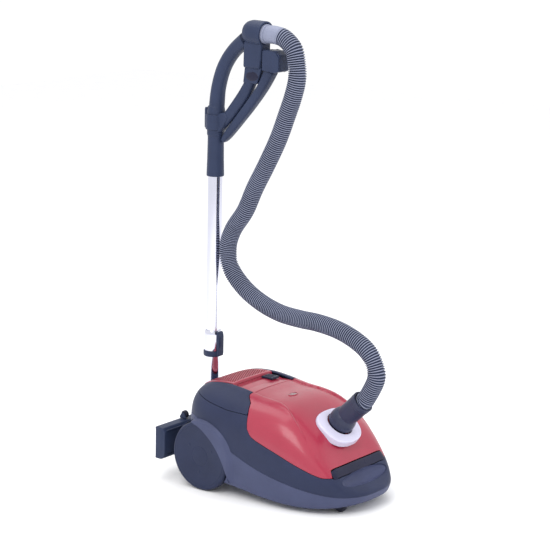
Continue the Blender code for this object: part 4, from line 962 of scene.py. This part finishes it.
# ---------------------------------------------------------------- floor head
on_wand("neck_tube", [(0.0001, 0.1150), (0.0090, 0.1150), (0.0096, 0.1200), (0.0100, 0.1400),
            (0.0120, 0.1450),
            (0.0163, 0.1520), (0.0168, 0.1545), (0.0168, 0.1840), (0.0163, 0.1852),
            (0.0146, 0.1852), (0.0146, 0.1700), (0.0001, 0.1700)],
        "dark_plastic", "wand_lower", "head_neck", soft=0.0012)
barrel = lathe("neck_barrel", [(0, 0), (0.0112, 0), (0.0112, 0.0376), (0, 0.0376)], wand(-0.0188, 0, 0.1030),
        (1, 0, 0), "dark_plastic", soft=0.0012)
yoke = bar("neck_yoke", [(0.0, 0.1000, 0.0120, 0.0100), (0.0, 0.1100, 0.0115, 0.0098),
            (0.0, 0.1220, 0.0098, 0.0096)], "dark_plastic", count=12, squareness=2.6)
rib = wand_block("parking_rib", 0.0046, [(0.0060, 0.1200), (0.0140, 0.1205), (0.0142, 0.1410),
            (0.0060, 0.1416)], "dark_plastic", 0.0008)
for made in (barrel, yoke, rib):
    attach(made, "wand_lower")

REAR, FRONT, LOW, HIGH = -0.0420, -0.0145, 0.0435, 0.1155
outline = rounded([(FRONT - 0.004, LOW + 0.004), (FRONT, LOW + 0.016), (FRONT, HIGH - 0.010),
            (FRONT - 0.006, HIGH), (REAR, HIGH), (REAR, HIGH - 0.0035), (REAR + 0.0125, HIGH - 0.0035),
            (REAR + 0.0125, LOW + 0.0035), (REAR, LOW + 0.0035), (REAR, LOW),
            (FRONT - 0.012, LOW)], 0.0022, closed=True)
rings = []
for x, shrink in ((0.1390, 0.95), (0.1382, 0.985), (0.1358, 1.0), (-0.1358, 1.0), (-0.1382, 0.985),
        (-0.1390, 0.95)):
    mid_f, mid_z = (FRONT + REAR) / 2, (LOW + HIGH) / 2
    rings.append([wand(x, mid_f + (f - mid_f) * shrink, mid_z + (z - mid_z) * shrink) for f, z in outline])
head = loft("head_shell", rings, "dark_plastic")
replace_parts(head, "head_body")
head_parts = [head]
for side in (-1, 1):
    for x0, x1, outline in (
            (0.0195, 0.0235, [(0.0072, 0.0960), (0.0072, 0.1100), (0.0020, 0.1130), (-0.0160, 0.1130),
                (-0.0160, 0.0940), (0.0020, 0.0935)]),
            (0.1353, 0.1388, [(REAR + 0.0005, LOW + 0.001), (REAR + 0.0005, HIGH - 0.001),
                (FRONT - 0.008, HIGH - 0.002), (FRONT - 0.008, LOW + 0.006)])):
        head_parts.append(prism(f"head_cheek_{x0:.4f}_{side + 1}".replace(".", "_"), outline, side * x0,
                    side * x1, "dark_plastic", 0.0009, to_world=wand))
    for z0, z1 in ((0.0520, 0.0545), (0.1085, 0.1110)):
        head_parts.append(prism(f"head_bead_{side + 1}_{int(z0 * 1e4)}",
                    [(FRONT - 0.001, z0), (FRONT + 0.0012, z0 + 0.0004),
                    (FRONT + 0.0012, z1 - 0.0004), (FRONT - 0.001, z1)],
                    side * 0.030, side * 0.133, "dark_plastic", 0.0005, to_world=wand))
    lug = prism(f"roller_lug_{side + 1}", [(-0.0420, 0.1165), (-0.0420, 0.1200), (-0.0360, 0.1290),
                (-0.0300, 0.1290), (-0.0240, 0.1200), (-0.0240, 0.1165)],
            side * 0.0572, side * 0.0600, "dark_plastic", 0.0006, to_world=wand)
    head_parts.append(lug)
head_parts.append(wand_block("head_hump", 0.0180, [(FRONT - 0.002, 0.0850), (FRONT + 0.0012, 0.0880),
            (FRONT + 0.0012, 0.0940), (FRONT - 0.002, 0.0960)],
            "dark_plastic", 0.0008))
for made in head_parts:
    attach(made, "head")
rocker = wand_block("rocker_pedal", 0.0250, [(-0.0138, 0.0602), (-0.0092, 0.0604), (-0.0085, 0.0700),
            (-0.0092, 0.0796), (-0.0138, 0.0798)], "case_plastic", 0.0010)
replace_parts(rocker, "head_rocker")
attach(rocker, "rocker")
for mark, z in (("front", LOW + 0.0090), ("rear", HIGH - 0.0120)):
    roots = [wand(float(x), -0.0415, z + dz) for x in np.linspace(-0.1148, 0.1148, 150)
            for dz in (-0.0009, 0.0, 0.0009)]
    hairs(f"sole_hair_{mark}", roots, wand(0, -0.0060, 0) - wand(0, 0, 0), 0.00035, "head",
          [f"head_bristles_{mark}"], 0.0004, 5)
for side, mark in SIDES:
    at = wand(side * 0.0520, -0.0330, HIGH + 0.0090)
    roller = lathe(f"head_tread_{mark}", [(0, -0.0045), (0.0070, -0.0045), (0.0085, -0.0032),
                (0.0085, 0.0032),
                (0.0070, 0.0045), (0, 0.0045)], at, (1, 0, 0), "rubber",
            steps=64, soft=0.0010)
    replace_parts(roller, f"head_roller_{mark}")
    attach(roller, f"head_wheel_{mark}")

# ---------------------------------------------------------------- hose
HOSE_RADIUS, HOSE_PITCH = 0.0190, 0.0045
RING = (0.0, -0.0001, -0.0024, -0.0031, -0.0024, -0.0001)      # depth through one pitch
# steps of each pitch whose faces get the painted groove shade
SHADED_GROOVE_STEPS, HOSE_SIDES = (1, 2, 3, 4), 48
ROUTE = [(0.0757, 0.9637), (0.0960, 0.9634), (0.1198, 0.9569), (0.1432, 0.9359), (0.1511, 0.9059),
        (0.1512, 0.8753), (0.1409, 0.8396), (0.1253, 0.8013), (0.1016, 0.7472), (0.0695, 0.6894),
        (0.0396, 0.6396), (0.0130, 0.5880), (-0.0216, 0.5419), (-0.0359, 0.5007),
        (-0.0278, 0.4578), (0.0073, 0.4209), (0.0540, 0.3947), (0.1071, 0.3787),
        (0.1608, 0.3739), (0.2084, 0.3728), (0.2604, 0.3659), (0.3041, 0.3516),
        (0.3373, 0.3316), (0.3553, 0.3051), (0.3582, 0.2759)]
cuff_end = BEND + CUFF_AXIS * 0.0690
ends = [cuff_end + CUFF_AXIS * 0.012, cuff_end + CUFF_AXIS * 0.0003]
stations = ROUTE + [(AXLE_Y - p.y, p.z) for p in ends]
rough = spline_points(stations, 400)
total = float(np.linalg.norm(np.diff(rough, axis=0), axis=1).sum())
PLAIN = 0.034            # smooth stretch beside the handle
pitches = int(total / HOSE_PITCH)
line = spline_points(stations, pitches * len(RING) + 1)
hose_rings = []
for i in range(len(line)):
    a, z = line[i]
    run = line[min(i + 3, len(line) - 1)] - line[max(i - 3, 0)]
    run = run / np.linalg.norm(run)
    along = i / (len(line) - 1) * total
    plain = 0.5 - 0.5 * math.tanh((along - PLAIN) / 0.003)
    radius = HOSE_RADIUS + RING[i % len(RING)] * (1 - plain) - 0.0002 * plain
    hose_rings.append([place(radius * math.cos(t), a + run[1] * radius * math.sin(t),
                z - run[0] * radius * math.sin(t))
                for t in (2 * math.pi * j / HOSE_SIDES for j in range(HOSE_SIDES))])


def nearest(ahead, z):
    return int(np.argmin(np.hypot(line[:, 0] - ahead, line[:, 1] - z)))


breaks = [0, nearest(0.0695, 0.6894), nearest(-0.0278, 0.4578), nearest(0.2084, 0.3728), len(line) - 1]
BLENDS = [("wand_upper", "wand_lower", (0, 0, 0.90), (0, 0, 0.70)),
        ("wand_lower", "canister", (0, 0, 0.68), (0, 0, 0.47)),
        ("canister", "lid_body", (0, AXLE_Y - 0.03, 0), (0, AXLE_Y - 0.20, 0)),
        ("lid_body", "elbow", (0, AXLE_Y - 0.24, 0.3694), (0, AXLE_Y - 0.35, 0.29))]
for k, (first, second, start, end) in enumerate(BLENDS):
    i0, i1 = breaks[k], breaks[k + 1]
    hose = loft(f"hose_{k}", hose_rings[i0:i1 + 1], "hose_plastic", sharp=80)
    # second slot: painted shade for the groove faces past the plain stretch
    hose.data.materials.append(finishes["hose_groove_shade"])
    for face in hose.data.polygons:
        at = i0 + face.index // HOSE_SIDES
        on_side = face.index < (i1 - i0) * HOSE_SIDES
        if on_side and at % len(RING) in SHADED_GROOVE_STEPS and at / (len(line) - 1) * total > PLAIN:
            face.material_index = 1
    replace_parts(hose, "hose")
    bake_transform(hose)
cuff = lathe("hose_collar", [(0.0178, 0.0305), (0.0206, 0.0305), (0.0206, 0.0530), (0.0200, 0.0556),
            (0.0178, 0.0556)],
        SOCKET_AT, SOCKET_AXIS, "hose_plastic", ring=True, soft=0.0008)
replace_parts(cuff, "hose_cuff")
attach(cuff, "hose_end")

# ---------------------------------------------------------------- floor and reflection card
FLOOR_HALF, FLOOR_Z = 6, -0.0005
corners = [(x * FLOOR_HALF, y * FLOOR_HALF, FLOOR_Z) for x, y in ((-1, -1), (1, -1), (1, 1), (-1, 1))]
floor = piece("floor", corners, [(0, 1, 2, 3)], "floor", recalc=False)
del floor["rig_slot"]
card = piece("card", [(-0.75, -1.5, -0.3), (0.85, -1.5, -0.3), (0.85, -1.5, 1.5), (-0.75, -1.5, 1.5)],
        [(0, 1, 2, 3)], "card", recalc=False)
del card["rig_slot"]
card.visible_camera = card.visible_diffuse = card.visible_shadow = False
